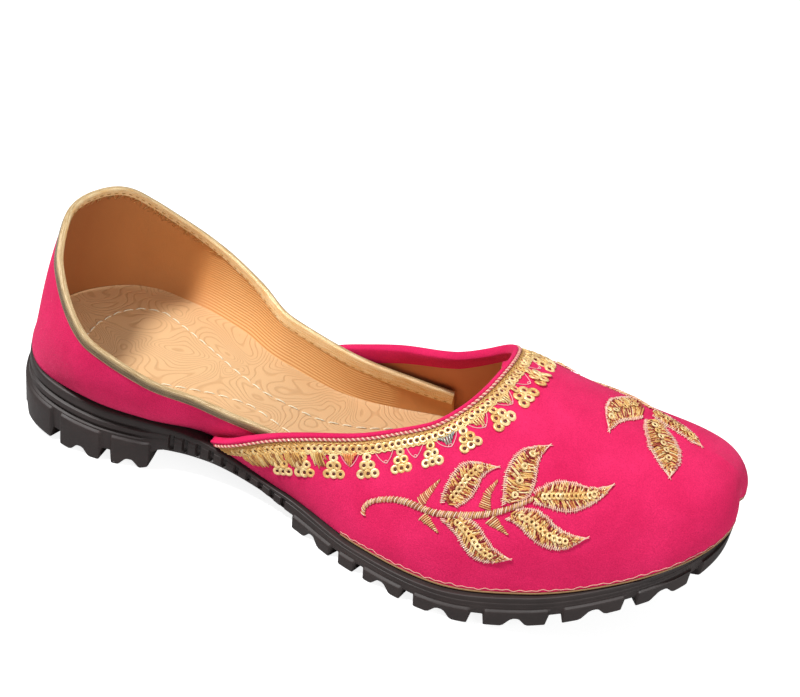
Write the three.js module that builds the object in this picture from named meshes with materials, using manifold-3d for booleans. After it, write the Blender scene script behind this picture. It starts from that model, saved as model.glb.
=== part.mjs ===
// A mojari: a slip-on shoe with a velvet vamp that wraps a lower quarter, on a moulded rubber sole.
// Millimetres, +Z up, toe towards +X. Both sides are alike, so every piece is a near half and its mirror.
import * as THREE from "three";
import { mergeVertices } from "three/addons/utils/BufferGeometryUtils.js";
import loadManifold from "manifold-3d";

// Sections of the last, heel to toe. x is the place along the foot, half_width the feather line,
// feather and crown its heights there, roundness the power of the section's curve, flare how far the
// wall leans out, collar the quarter's height and sole_out how far the sole stands outside the feather.
const LAST = [
  { x: -1, half_width: 0, feather: 25, crown: 130, roundness: 1.9, flare: -2.1, collar: 68.8, sole_out: -0.3 },
  { x: 3, half_width: 17, feather: 24.2, crown: 130, roundness: 1.9, flare: -1.9, collar: 68.1, sole_out: 0 },
  { x: 15, half_width: 31.5, feather: 22.3, crown: 130, roundness: 1.9, flare: 0.6, collar: 60, sole_out: 0.8 },
  { x: 38, half_width: 35, feather: 19.2, crown: 128, roundness: 1.9, flare: 8, collar: 44.6, sole_out: 1.8 },
  { x: 72, half_width: 29, feather: 15.4, crown: 112, roundness: 1.9, flare: 7.6, collar: 31.2, sole_out: 1 },
  { x: 104, half_width: 31.5, feather: 8.8, crown: 85, roundness: 1.7, flare: 3, collar: 25.8, sole_out: 1.2 },
  { x: 134, half_width: 42, feather: 7.4, crown: 66, roundness: 1.35, flare: 1, collar: 21.4, sole_out: 2 },
  { x: 161, half_width: 47, feather: 8.2, crown: 59.7, roundness: 1.84, flare: 0, collar: 20, sole_out: 2 },
  { x: 187, half_width: 42.5, feather: 12.4, crown: 55.5, roundness: 1.9, flare: 0, collar: 20, sole_out: 1.8 },
  { x: 211, half_width: 33.8, feather: 20.5, crown: 53, roundness: 2.05, flare: 0, collar: 20, sole_out: 0.8 },
  { x: 227, half_width: 24.5, feather: 29, crown: 52, roundness: 2.4, flare: 0.2, collar: 20, sole_out: -1 },
  { x: 234.5, half_width: 14, feather: 34, crown: 51.5, roundness: 2.65, flare: 0.5, collar: 20, sole_out: -1.9 },
  { x: 236.5, half_width: 0, feather: 36, crown: 51, roundness: 2.7, flare: 0.5, collar: 20, sole_out: -2 },
];

// Heights of the vamp's throat edge, from the end of its wing to its peak on the ridge.
const THROAT = [
  { x: 78, height: 17.5 },
  { x: 97, height: 27.2 },
  { x: 113, height: 33.3 },
  { x: 130, height: 38.7 },
  { x: 145, height: 46.2 },
  { x: 153, height: 52.8 },
  { x: 157, height: 57.2 },
  { x: 159, height: 60 },
];

// Underside of the sole: tread is where the lugs end, body where the sole between them ends.
const UNDERSIDE = [
  { x: -1, tread: 3.4, body: 7 },
  { x: 10, tread: 2.5, body: 6.2 },
  { x: 22, tread: 1.2, body: 5 },
  { x: 34, tread: 0, body: 4.1 },
  { x: 54, tread: 0, body: 4.4 },
  { x: 62, tread: 3, body: 8.2 },
  { x: 76, tread: 6, body: 8.4 },
  { x: 95, tread: 4, body: 6.4 },
  { x: 108, tread: 0, body: 4 },
  { x: 168, tread: 0, body: 3.3 },
  { x: 180, tread: 1.4, body: 4.6 },
  { x: 195, tread: 5, body: 8 },
  { x: 211, tread: 11.6, body: 14.6 },
  { x: 227, tread: 19.5, body: 22.4 },
  { x: 236.5, tread: 26.5, body: 29.4 },
];

// Side of the sole, top to bottom: up is the share of its height, out the step beyond sole_out, and
// groove the share of the heel's groove depth that is cut there.
const SOLE_SIDE = [
  { up: 1, out: -0.8, groove: 0 },
  { up: 0.95, out: 0, groove: 0 },
  { up: 0.82, out: 0.2, groove: 0 },
  { up: 0.79, out: 0.2, groove: 1 },
  { up: 0.74, out: 0.2, groove: 1 },
  { up: 0.71, out: 0.4, groove: 0 },
  { up: 0.61, out: 0.5, groove: 0 },
  { up: 0.58, out: 0.5, groove: 1 },
  { up: 0.53, out: 0.5, groove: 1 },
  { up: 0.5, out: 0.6, groove: 0 },
  { up: 0.08, out: 0.2, groove: 0 },
  { up: 0, out: -0.6, groove: 0 },
];
const GROOVE_DEPTH = 0.9;
const GROOVES_FADE_FROM = 50;
const GROOVES_FADE_TO = 60;

// Lugs as stretches of the feather line, in millimetres from the middle of the heel's back, with the
// middle of the notch in each tread face.
const LUGS = [
  { from: 0, to: 46, notch: 30 },
  { from: 49.5, to: 64, notch: 57 },
  { from: 67.5, to: 80, notch: 73.5 },
  { from: 134, to: 151.5, notch: 143 },
  { from: 155, to: 161, notch: null },
  { from: 164.5, to: 178, notch: 171 },
  { from: 182, to: 198.5, notch: 190 },
  { from: 202.5, to: 220.5, notch: 211.5 },
  { from: 224.5, to: 241, notch: 233 },
  { from: 244.5, to: 260, notch: 252 },
  { from: 264, to: Infinity, notch: null },
];
const LUG_OUT = 0.9;
const LUG_REACH = 12;
const LUG_RISE = 0.56;
const LUG_STEP = 6;
const NOTCH_WIDTH = 4;
const NOTCH_DEPTH = 1.7;
const NOTCH_REACH = 5;

// Slots in the side of the waist.
const SLOT_FIRST = 86;
const SLOT_LAST = 128;
const SLOT_COUNT = 10;
const SLOT_WIDTH = 1.5;
const SLOT_DEPTH = 0.9;
const SLOT_LOW = 0.14;
const SLOT_HIGH = 0.62;

// Upper, insole and trim.
const WALL = 2;
const SEAT = 0.3;
const FLARE_HEIGHT = 0.22;
const HEEL_SPINE = 64;
const THROAT_PEAK = 159;
const RIDGE_END = 219;
const WING_END = 78;
const TOE_CLEFT = 2.6;
const TOE_CLEFT_WIDTH = 4.5;
const QUARTER_FRONT = 134;
const TUCK = 3.7;
const TUCK_FROM = 56;
const TUCK_TO = 76;
const INSOLE_THICKNESS = 2;
const LEAN_AT_INSOLE = 0.36;
const BINDING = 0.8;
const COLLAR_BINDING_OUTSIDE = 2.2;
const COLLAR_BINDING_INSIDE = 4.6;
const COLLAR_BINDING_LEAN = 0.6;
const THROAT_BINDING_DEPTH = 1.5;
const THROAT_BINDING_SHARE = 0.6;
const CORD_RADIUS = 0.8;
const CORD_NEEDS = 7.5;

// Numbers of steps in the grids.
const OUTLINE_SAMPLES = 800;
const SOLE_STEPS = 42;
const WING_STEPS = 16;
const TOE_STEPS = 14;
const VAMP_ROWS = 12;
const QUARTER_STEPS = 26;
const QUARTER_ROWS = 7;
const CORD_SIDES = 6;

const manifold = await loadManifold();
manifold.setup();

// A smooth curve through one column of a table that keeps the table's rises and falls.
function columnOf(table, name) {
  const xs = table.map((row) => row.x);
  const ys = table.map((row) => row[name]);
  const slopes = xs.slice(1).map((x, i) => (ys[i + 1] - ys[i]) / (x - xs[i]));
  const tangents = ys.map((_, i) => {
    if (i === 0) return slopes[0];
    if (i === ys.length - 1) return slopes[i - 1];
    const product = slopes[i - 1] * slopes[i];
    return product <= 0 ? 0 : (2 * product) / (slopes[i - 1] + slopes[i]);
  });
  return (x) => {
    const at = THREE.MathUtils.clamp(x, xs[0], xs[xs.length - 1]);
    let i = 0;
    while (i < xs.length - 2 && at > xs[i + 1]) i++;
    const span = xs[i + 1] - xs[i];
    const t = (at - xs[i]) / span;
    const start = ys[i] * (1 + 2 * t) * (1 - t) ** 2 + tangents[i] * span * t * (1 - t) ** 2;
    const end = ys[i + 1] * t * t * (3 - 2 * t) + tangents[i + 1] * span * t * t * (t - 1);
    return start + end;
  };
}

const featherAt = columnOf(LAST, "feather");
const crownAt = columnOf(LAST, "crown");
const roundnessAt = columnOf(LAST, "roundness");
const flareAt = columnOf(LAST, "flare");
const collarAt = columnOf(LAST, "collar");
const soleOutAt = columnOf(LAST, "sole_out");
const throatAt = columnOf(THROAT, "height");
const treadAt = columnOf(UNDERSIDE, "tread");
const bodyAt = columnOf(UNDERSIDE, "body");

// The near half of the feather line in plan, sampled from the heel's back to the toe.
const outline = (() => {
  const near = LAST.map((row) => new THREE.Vector3(row.x, -row.half_width, 0));
  const far = LAST.slice(1, -1).reverse().map((row) => new THREE.Vector3(row.x, row.half_width, 0));
  const curve = new THREE.CatmullRomCurve3([...near, ...far], true, "centripetal");
  const samples = [];
  let length = 0;
  for (let i = 0; i <= OUTLINE_SAMPLES; i++) {
    const point = curve.getPoint((0.5 * i) / OUTLINE_SAMPLES);
    const run = curve.getTangent((0.5 * i) / OUTLINE_SAMPLES);
    if (i > 0) length += point.distanceTo(samples[i - 1].point);
    samples.push({ point, length, out: new THREE.Vector3(run.y, -run.x, 0) });
  }
  samples[0].out.set(-1, 0, 0);
  samples[OUTLINE_SAMPLES].out.set(1, 0, 0);
  return samples;
})();
const FEATHER_LENGTH = outline[outline.length - 1].length;

// A point of the near feather line, with its outward direction, that many millimetres from the heel.
function edgeAt(along) {
  const place = THREE.MathUtils.clamp(along, 0, FEATHER_LENGTH);
  let i = 0;
  while (i < outline.length - 2 && outline[i + 1].length < place) i++;
  const [a, b] = [outline[i], outline[i + 1]];
  const share = (place - a.length) / (b.length - a.length);
  const point = a.point.clone().lerp(b.point, share);
  if (place === 0 || place === FEATHER_LENGTH) point.y = 0;
  return { x: point.x, y: point.y, out: a.out.clone().lerp(b.out, share).normalize() };
}

// How far along the feather line a place on the foot's length lies.
function alongAt(x) {
  const next = outline.findIndex((sample) => sample.point.x >= x);
  if (next <= 0) return next === 0 ? 0 : FEATHER_LENGTH;
  const [a, b] = [outline[next - 1], outline[next]];
  return a.length + ((b.length - a.length) * (x - a.point.x)) / (b.point.x - a.point.x);
}
const PEAK_ALONG = alongAt(THROAT_PEAK);

// Where the section through a point of the feather line meets the middle of the foot.
function spineAt(along) {
  if (along <= PEAK_ALONG) return Math.max(edgeAt(along).x, HEEL_SPINE);
  const share = (along - PEAK_ALONG) / (FEATHER_LENGTH - PEAK_ALONG);
  return THROAT_PEAK + (RIDGE_END - THROAT_PEAK) * share;
}

// The outside of the upper: turn runs from 0 at the feather line to a quarter turn on the ridge.
function wallPoint(along, turn) {
  const edge = edgeAt(along);
  const spine = spineAt(along);
  const power = 2 / roundnessAt(edge.x);
  const rise = Math.sin(turn) ** power;
  const inward = 1 - Math.max(0, Math.cos(turn)) ** power;
  const lean = (rise / FLARE_HEIGHT) * Math.exp(1 - rise / FLARE_HEIGHT) * (1 - rise ** 2);
  const flare = (flareAt(edge.x) * lean) / (1 - FLARE_HEIGHT ** 2);
  const feather = featherAt(edge.x);
  const point = new THREE.Vector3(
    edge.x + (spine - edge.x) * inward + edge.out.x * flare,
    edge.y * (1 - inward) + edge.out.y * flare,
    feather + SEAT + (crownAt(spine) - feather - SEAT) * rise,
  );
  const front = THREE.MathUtils.smoothstep(along, PEAK_ALONG, FEATHER_LENGTH);
  point.x -= TOE_CLEFT * front * Math.exp(-((point.y / TOE_CLEFT_WIDTH) ** 2)) * (1 - rise) ** 2;
  return point;
}

// The turn at which the wall over a point of the feather line reaches a height.
function turnAt(along, height) {
  const { x } = edgeAt(along);
  const foot = featherAt(x) + SEAT;
  const rise = (height - foot) / (crownAt(spineAt(along)) - foot);
  return Math.asin(THREE.MathUtils.clamp(rise, 0, 1) ** (roundnessAt(x) / 2));
}

// The wall's outward direction; on the middle of the foot it has no sideways part.
function wallNormal(along, turn) {
  const alongStep = 0.5;
  const turnStep = 0.002;
  const ahead = wallPoint(Math.min(along + alongStep, FEATHER_LENGTH), turn);
  const behind = wallPoint(Math.max(along - alongStep, 0), turn);
  const above = wallPoint(along, Math.min(turn + turnStep, Math.PI / 2));
  const below = wallPoint(along, Math.max(turn - turnStep, 0));
  const run = ahead.sub(behind);
  if (along === 0 || along === FEATHER_LENGTH) run.set(0, along === 0 ? -1 : 1, 0);
  const normal = run.cross(above.sub(below));
  if (isMiddle(along, turn)) normal.y = 0;
  return normal.normalize();
}

function isMiddle(along, turn) {
  return along === 0 || along === FEATHER_LENGTH || turn >= Math.PI / 2 - 1e-9;
}

// A point of the wall moved in from its outside by a depth.
function wallAt(along, turn, depth) {
  const point = wallPoint(along, turn).addScaledVector(wallNormal(along, turn), -depth);
  if (isMiddle(along, turn)) point.y = 0;
  return point;
}

// Faces are kept as triangles of points; a face that has closed up to a line is left out.
function addTriangle(faces, a, b, c) {
  const area = b.clone().sub(a).cross(c.clone().sub(a)).length() / 2;
  if (area > 1e-7) faces.push([a, b, c]);
}

function addQuad(faces, a, b, c, d) {
  addTriangle(faces, a, b, c);
  addTriangle(faces, a, c, d);
}

// A sheet of quads over a grid of points; turned sheets face the other way.
function addSheet(faces, grid, turned = false) {
  for (let i = 0; i + 1 < grid.length; i++) {
    for (let j = 0; j + 1 < grid[i].length; j++) {
      const corners = [grid[i][j], grid[i + 1][j], grid[i + 1][j + 1], grid[i][j + 1]];
      addQuad(faces, ...(turned ? corners.reverse() : corners));
    }
  }
}

// A strip of quads that joins two rows of points.
function addStrip(faces, first, second) {
  for (let i = 0; i + 1 < first.length; i++) addQuad(faces, first[i], first[i + 1], second[i + 1], second[i]);
}

function mirrored(faces) {
  const flip = (p) => new THREE.Vector3(p.x, -p.y, p.z);
  return faces.map(([a, b, c]) => [flip(a), flip(c), flip(b)]);
}

function geometryOf(faces) {
  const positions = faces.flatMap((face) => face.flatMap((p) => [p.x, p.y, p.z]));
  const geometry = new THREE.BufferGeometry();
  geometry.setAttribute("position", new THREE.Float32BufferAttribute(positions, 3));
  return mergeVertices(geometry, 1e-4);
}

// A near half and its mirror as one closed body.
function bothSides(faces) {
  return geometryOf([...faces, ...mirrored(faces)]);
}

function solidOf(geometry) {
  const vertProperties = new Float32Array(geometry.attributes.position.array);
  const triVerts = new Uint32Array(geometry.index.array);
  return new manifold.Manifold(new manifold.Mesh({ numProp: 3, vertProperties, triVerts }));
}

function geometryOfSolid(solid) {
  const mesh = solid.getMesh();
  const geometry = new THREE.BufferGeometry();
  geometry.setAttribute("position", new THREE.Float32BufferAttribute(mesh.vertProperties, 3));
  geometry.setIndex(new THREE.BufferAttribute(mesh.triVerts, 1));
  geometry.computeVertexNormals();
  return geometry;
}

function steps(from, to, count) {
  return Array.from({ length: count + 1 }, (_, i) => from + ((to - from) * i) / count);
}

// Body of the sole: rings of the side profile, closed by a flat seat above and the underside below.
function soleBody() {
  const places = steps(0, FEATHER_LENGTH, SOLE_STEPS);
  const ring = (row) =>
    places.map((along) => {
      const edge = edgeAt(along);
      const fade = 1 - THREE.MathUtils.smoothstep(edge.x, GROOVES_FADE_FROM, GROOVES_FADE_TO);
      const out = soleOutAt(edge.x) + row.out - row.groove * fade * GROOVE_DEPTH;
      const x = edge.x + edge.out.x * out;
      const low = bodyAt(x);
      return new THREE.Vector3(x, edge.y + edge.out.y * out, low + (featherAt(x) - low) * row.up);
    });
  const rings = SOLE_SIDE.map(ring);
  const middle = (points) => points.map((p) => new THREE.Vector3(p.x, 0, p.z));
  const faces = [];
  for (let k = 0; k + 1 < rings.length; k++) addStrip(faces, rings[k + 1], rings[k]);
  const [top, bottom] = [rings[0], rings[rings.length - 1]];
  addStrip(faces, top, middle(top));
  addStrip(faces, middle(bottom), bottom);
  return bothSides(faces);
}

// A block along the near edge of the sole, between two depths and two heights; where it reaches the
// middle of the heel or the toe it goes on into its mirror.
function edgeBlock({ from, to, out, reach, low, high }) {
  const end = Math.min(to, FEATHER_LENGTH);
  const places = steps(from, end, Math.max(1, Math.ceil((end - from) / LUG_STEP)));
  const row = (offset, height) =>
    places.map((along) => {
      const edge = edgeAt(along);
      const shift = offset(edge.x);
      const x = edge.x + edge.out.x * shift;
      return new THREE.Vector3(x, edge.y + edge.out.y * shift, height(x));
    });
  const rows = [row(out, low), row(out, high), row(reach, high), row(reach, low)];
  const faces = [];
  rows.forEach((points, k) => addStrip(faces, points, rows[(k + 1) % rows.length]));
  const last = places.length - 1;
  if (from > 0) addQuad(faces, ...rows.map((points) => points[0]));
  if (end < FEATHER_LENGTH) addQuad(faces, ...rows.map((points) => points[last]).reverse());
  const joined = from === 0 || end === FEATHER_LENGTH;
  return joined ? [bothSides(faces)] : [geometryOf(faces), geometryOf(mirrored(faces))];
}

function outsole() {
  const out = (x) => soleOutAt(x) + LUG_OUT;
  const lugTop = (x) => treadAt(x) + (featherAt(x) - treadAt(x)) * LUG_RISE;
  const lugs = LUGS.flatMap(({ from, to }) =>
    edgeBlock({ from, to, out, reach: (x) => soleOutAt(x) - LUG_REACH, low: treadAt, high: lugTop }),
  );
  const notches = LUGS.filter((lug) => lug.notch !== null).flatMap(({ notch }) =>
    edgeBlock({
      from: notch - NOTCH_WIDTH / 2,
      to: notch + NOTCH_WIDTH / 2,
      out: (x) => out(x) + NOTCH_REACH,
      reach: (x) => out(x) - NOTCH_REACH,
      low: (x) => treadAt(x) - NOTCH_DEPTH,
      high: (x) => treadAt(x) + NOTCH_DEPTH,
    }),
  );
  const side = (share) => (x) => bodyAt(x) + (featherAt(x) - bodyAt(x)) * share;
  const slots = steps(SLOT_FIRST, SLOT_LAST, SLOT_COUNT - 1).flatMap((at) =>
    edgeBlock({
      from: at,
      to: at + SLOT_WIDTH,
      out: (x) => out(x) + SLOT_DEPTH,
      reach: (x) => soleOutAt(x) - SLOT_DEPTH,
      low: side(SLOT_LOW),
      high: side(SLOT_HIGH),
    }),
  );
  let solid = solidOf(soleBody());
  for (const lug of lugs) solid = solid.add(solidOf(lug));
  for (const cut of [...notches, ...slots]) solid = solid.subtract(solidOf(cut));
  return geometryOfSolid(solid);
}

// How far inside the outer wall the quarter lies: nothing at the heel, inside the vamp's wings ahead.
function tuckAt(x) {
  return TUCK * THREE.MathUtils.smoothstep(x, TUCK_FROM, TUCK_TO);
}

function insole() {
  const places = steps(0, FEATHER_LENGTH, SOLE_STEPS);
  const rim = (lift) =>
    places.map((along) => {
      const edge = edgeAt(along);
      const inFront = THREE.MathUtils.smoothstep(edge.x, QUARTER_FRONT, QUARTER_FRONT + TUCK_TO - TUCK_FROM);
      const toe = THREE.MathUtils.smoothstep(along, PEAK_ALONG, FEATHER_LENGTH);
      const { x, y } = wallNormal(along, 0);
      const wall = THREE.MathUtils.lerp(WALL * Math.hypot(x, y), WALL, inFront);
      const lean = LEAN_AT_INSOLE * Math.max(0, -flareAt(edge.x));
      const inset = wall + lean + SEAT + tuckAt(edge.x) * (1 - inFront) + TOE_CLEFT * toe;
      const point = new THREE.Vector3(edge.x - edge.out.x * inset, edge.y - edge.out.y * inset, 0);
      point.z = featherAt(point.x) + SEAT + lift;
      return point;
    });
  const [low, high] = [rim(0), rim(INSOLE_THICKNESS)];
  const middle = (points) => points.map((p) => new THREE.Vector3(p.x, 0, p.z));
  const faces = [];
  addStrip(faces, low, high);
  addStrip(faces, high, middle(high));
  addStrip(faces, middle(low), low);
  return bothSides(faces);
}

// Lines over the vamp from the feather line to the throat, and past the peak to the ridge and toe.
const vampLines = (() => {
  const wing = steps(0, 1, WING_STEPS).map((share) => {
    const top = alongAt(THROAT_PEAK - (THROAT_PEAK - WING_END) * (1 - share) ** 2);
    const turn = share === 1 ? Math.PI / 2 : turnAt(top, throatAt(edgeAt(top).x));
    return { foot: alongAt(WING_END + (THROAT_PEAK - WING_END) * share), top, turn };
  });
  const toe = steps(PEAK_ALONG, FEATHER_LENGTH, TOE_STEPS).slice(1);
  return [...wing, ...toe.map((along) => ({ foot: along, top: along, turn: Math.PI / 2 }))];
})();

function vampGrid(depth) {
  return vampLines.map(({ foot, top, turn }) =>
    steps(0, 1, VAMP_ROWS).map((share) => wallAt(foot + (top - foot) * share, turn * share, depth)),
  );
}

function vamp() {
  const [outer, inner] = [vampGrid(0), vampGrid(WALL)];
  const row = (grid, j) => grid.map((line) => line[j]);
  const faces = [];
  addSheet(faces, outer);
  addSheet(faces, inner, true);
  addStrip(faces, row(inner, 0), row(outer, 0));
  const wing = WING_STEPS + 1;
  addStrip(faces, row(outer, VAMP_ROWS).slice(0, wing), row(inner, VAMP_ROWS).slice(0, wing));
  addStrip(faces, outer[0], inner[0]);
  return bothSides(faces);
}

const quarterPlaces = steps(0, alongAt(QUARTER_FRONT), QUARTER_STEPS);

// A point of the quarter, which stands in from the wall level with it, so that its foot stays on the seat.
function quarterAt(along, turn, depth) {
  const { x, out } = edgeAt(along);
  const point = wallAt(along, turn, depth);
  point.x -= out.x * tuckAt(x);
  point.y -= out.y * tuckAt(x);
  return point;
}

function quarterGrid(depth) {
  return quarterPlaces.map((along) => {
    const turn = turnAt(along, collarAt(edgeAt(along).x));
    return steps(0, turn, QUARTER_ROWS).map((part) => quarterAt(along, part, depth));
  });
}

function quarter() {
  const [outer, inner] = [quarterGrid(0), quarterGrid(WALL)];
  const row = (grid, j) => grid.map((line) => line[j]);
  const faces = [];
  addSheet(faces, outer);
  addSheet(faces, inner, true);
  addStrip(faces, row(inner, 0), row(outer, 0));
  addStrip(faces, row(outer, QUARTER_ROWS), row(inner, QUARTER_ROWS));
  addStrip(faces, inner[QUARTER_STEPS], outer[QUARTER_STEPS]);
  return bothSides(faces);
}

// Frames along a free edge of the upper: out is away from the wall and up is past the edge.
function edgeFrames(stations) {
  return stations.map(({ point, along, turn, room }, i) => {
    const before = stations[Math.max(i - 1, 0)].point;
    const after = stations[Math.min(i + 1, stations.length - 1)].point;
    const out = wallNormal(along, turn);
    const run = after.clone().sub(before);
    if (isMiddle(along, turn)) run.set(0, 1, 0).multiplyScalar(along === 0 ? -1 : 1);
    const up = out.clone().cross(run.normalize()).normalize();
    return { point, out, up, room, middle: isMiddle(along, turn) };
  });
}

// A section swept along frames; its points are pairs of out and up. It is capped at its front end
// and goes on into its mirror at the middle of the foot.
function sweep(frames, sectionAt, capFirst, capLast) {
  const rings = frames.map((frame) =>
    sectionAt(frame).map(([out, up]) => {
      const p = frame.point.clone().addScaledVector(frame.out, out).addScaledVector(frame.up, up);
      if (frame.middle) p.y = 0;
      return p;
    }),
  );
  const faces = [];
  for (let i = 0; i + 1 < rings.length; i++) {
    const [a, b] = [rings[i], rings[i + 1]];
    a.forEach((_, k) => {
      const n = (k + 1) % a.length;
      addQuad(faces, a[k], b[k], b[n], a[n]);
    });
  }
  const section = sectionAt(frames[0]).map(([out, up]) => new THREE.Vector2(out, up));
  for (const [i, k, m] of THREE.ShapeUtils.triangulateShape(section, [])) {
    const [first, last] = [rings[0], rings[rings.length - 1]];
    if (capFirst) addTriangle(faces, first[i], first[k], first[m]);
    if (capLast) addTriangle(faces, last[m], last[k], last[i]);
  }
  return bothSides(faces);
}

// Gold strip folded over the collar, deeper on the inside than on the outside.
function collarBinding() {
  const stations = quarterPlaces.map((along) => {
    const turn = turnAt(along, collarAt(edgeAt(along).x));
    return { along, turn, point: quarterAt(along, turn, 0) };
  });
  const outer = SEAT + BINDING;
  const inner = -WALL - SEAT;
  const hem = inner - COLLAR_BINDING_LEAN;
  const section = [
    [outer, -COLLAR_BINDING_OUTSIDE],
    [outer, outer],
    [inner - BINDING, outer],
    [hem - BINDING, -COLLAR_BINDING_INSIDE],
    [hem, -COLLAR_BINDING_INSIDE],
    [inner, SEAT],
    [SEAT, SEAT],
    [SEAT, -COLLAR_BINDING_OUTSIDE],
  ];
  return sweep(edgeFrames(stations), () => section, false, true);
}

const throatStations = vampLines.slice(0, WING_STEPS + 1).map(({ foot, top, turn }) => {
  const point = wallAt(top, turn, 0);
  return { along: top, turn, point, room: point.distanceTo(wallAt(foot, 0, 0)) };
});

// Pink roll that covers the cut edge of the throat and a little of the vamp below it.
function throatBinding() {
  const outer = SEAT + BINDING;
  const sectionAt = ({ room }) => {
    const depth = Math.min(THROAT_BINDING_DEPTH, room * THROAT_BINDING_SHARE);
    return [
      [outer, -depth],
      [outer, outer],
      [-WALL, outer],
      [-WALL, SEAT],
      [SEAT, SEAT],
      [SEAT, -depth],
    ];
  };
  return sweep(edgeFrames(throatStations), sectionAt, true, false);
}

// Twisted cord that lies on the vamp along the lower edge of the roll.
function throatCord() {
  const below = THROAT_BINDING_DEPTH + SEAT + CORD_RADIUS;
  const section = Array.from({ length: CORD_SIDES }, (_, k) => {
    const angle = (2 * Math.PI * k) / CORD_SIDES;
    return [SEAT + CORD_RADIUS + CORD_RADIUS * Math.cos(angle), CORD_RADIUS * Math.sin(angle) - below];
  });
  const frames = edgeFrames(throatStations).filter(({ room }) => room > CORD_NEEDS);
  return sweep(frames, () => section, true, false);
}

function piece(name, geometry, color, roughness, metalness) {
  const material = new THREE.MeshStandardMaterial({ color, roughness, metalness, flatShading: true });
  const mesh = new THREE.Mesh(geometry, material);
  mesh.name = name;
  return mesh;
}

const shoe = new THREE.Group();
shoe.add(
  piece("outsole", outsole(), 0x3e3636, 0.62, 0),
  piece("insole", insole(), 0xe3b883, 0.55, 0),
  piece("upper_vamp", vamp(), 0xe8206a, 0.9, 0),
  piece("upper_quarter", quarter(), 0xe8206a, 0.9, 0),
  piece("collar_binding", collarBinding(), 0xd8c08a, 0.4, 0.6),
  piece("throat_binding", throatBinding(), 0xf02a74, 0.85, 0),
  piece("throat_cord", throatCord(), 0xcaa25a, 0.5, 0.4),
);

// The origin is under the middle of the shoe, on the floor.
const box = new THREE.Box3().setFromObject(shoe);
shoe.position.x = -(box.min.x + box.max.x) / 2;

const mojari = new THREE.Group();
mojari.add(shoe);

export default mojari;
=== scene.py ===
import math

import bpy
import numpy as np
from mathutils import Matrix, Vector
from mathutils.bvhtree import BVHTree


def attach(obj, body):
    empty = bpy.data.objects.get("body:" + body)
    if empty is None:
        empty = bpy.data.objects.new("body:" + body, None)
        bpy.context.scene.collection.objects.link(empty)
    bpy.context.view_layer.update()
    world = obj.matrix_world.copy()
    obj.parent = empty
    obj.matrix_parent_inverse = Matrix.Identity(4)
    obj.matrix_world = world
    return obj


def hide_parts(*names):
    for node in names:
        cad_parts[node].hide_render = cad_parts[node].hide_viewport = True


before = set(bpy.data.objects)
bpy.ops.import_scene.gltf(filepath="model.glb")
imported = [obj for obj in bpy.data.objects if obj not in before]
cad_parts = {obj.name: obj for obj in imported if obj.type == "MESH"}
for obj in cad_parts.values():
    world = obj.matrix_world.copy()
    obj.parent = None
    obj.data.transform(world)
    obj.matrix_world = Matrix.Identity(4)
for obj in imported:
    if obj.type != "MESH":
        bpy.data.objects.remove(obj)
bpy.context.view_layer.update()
bpy.ops.object.select_all(action="DESELECT")

# Outsole: one piece of moulded charcoal rubber with a low heel, a thin waist and a toe that springs up.
# Notched lugs stand out of its side, two grooves run round the heel and a row of slots fills the waist.
# Sizes are in millimetres from the heel's back. MIDDLE is the origin's place, SEAT the glue line on top.
MIDDLE = 117.383
SEAT = 0.3
LAST = np.array([
    # x, half_width, feather, crown, roundness, flare, collar, sole_out
    (-1, 0, 25, 130, 1.9, -2.1, 68.8, -0.3),
    (3, 17, 24.2, 130, 1.9, -1.9, 68.1, 0),
    (15, 31.5, 22.3, 130, 1.9, 0.6, 60, 0.8),
    (38, 35, 19.2, 128, 1.9, 8, 44.6, 1.8),
    (72, 29, 15.4, 112, 1.9, 7.6, 31.2, 1),
    (104, 31.5, 8.8, 85, 1.7, 3, 25.8, 1.2),
    (134, 42, 7.4, 66, 1.35, 1, 21.4, 2),
    (161, 47, 8.2, 59.7, 1.84, 0, 20, 2),
    (187, 42.5, 12.4, 55.5, 1.9, 0, 20, 1.8),
    (211, 33.8, 20.5, 53, 2.05, 0, 20, 0.8),
    (227, 24.5, 29, 52, 2.4, 0.2, 20, -1),
    (234.5, 14, 34, 51.5, 2.65, 0.5, 20, -1.9),
    (236.5, 0, 36, 51, 2.7, 0.5, 20, -2),
])
UNDERSIDE = np.array([
    # x, tread, body
    (-1, 3.4, 7), (10, 2.5, 6.2), (22, 1.2, 5), (34, 0, 4.1), (54, 0, 4.4), (62, 3, 8.2), (76, 6, 8.4),
    (95, 4, 6.4), (108, 0, 4), (168, 0, 3.3), (180, 1.4, 4.6), (195, 5, 8), (211, 11.6, 14.6),
    (227, 19.5, 22.4), (236.5, 26.5, 29.4),
])
SOLE_SIDE = (
    # share of the height, step outwards, share of the groove's depth
    (1, -0.8, 0), (0.985, -0.3, 0), (0.965, -0.05, 0), (0.94, 0.05, 0), (0.88, 0.15, 0), (0.825, 0.2, 0),
    (0.805, 0.2, 0.35), (0.785, 0.2, 0.95), (0.745, 0.2, 0.95), (0.725, 0.25, 0.35), (0.705, 0.4, 0),
    (0.66, 0.45, 0), (0.615, 0.5, 0), (0.595, 0.5, 0.35), (0.575, 0.5, 0.95), (0.54, 0.5, 0.95),
    (0.52, 0.55, 0.35), (0.5, 0.6, 0),
)
GROOVE_DEPTH = 1.0
GROOVES_FADE = (50, 60)
LUGS = (
    # from, to and middle of the notch, along the feather line
    (-10, 46, 30), (49.5, 64, 57), (67.5, 80, 73.5), (134, 151.5, 143), (155, 161, None), (164.5, 178, 171),
    (182, 198.5, 190), (202.5, 220.5, 211.5), (224.5, 241, 233), (244.5, 260, 252), (264, 400, None),
)
LUG_OUT, LUG_RISE, LUG_REACH, LUG_SOFT = 0.9, 0.56, 12, 0.45
NOTCH_WIDTH, NOTCH_DEPTH, NOTCH_SOFT = 4.4, 2.6, 1.6
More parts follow.
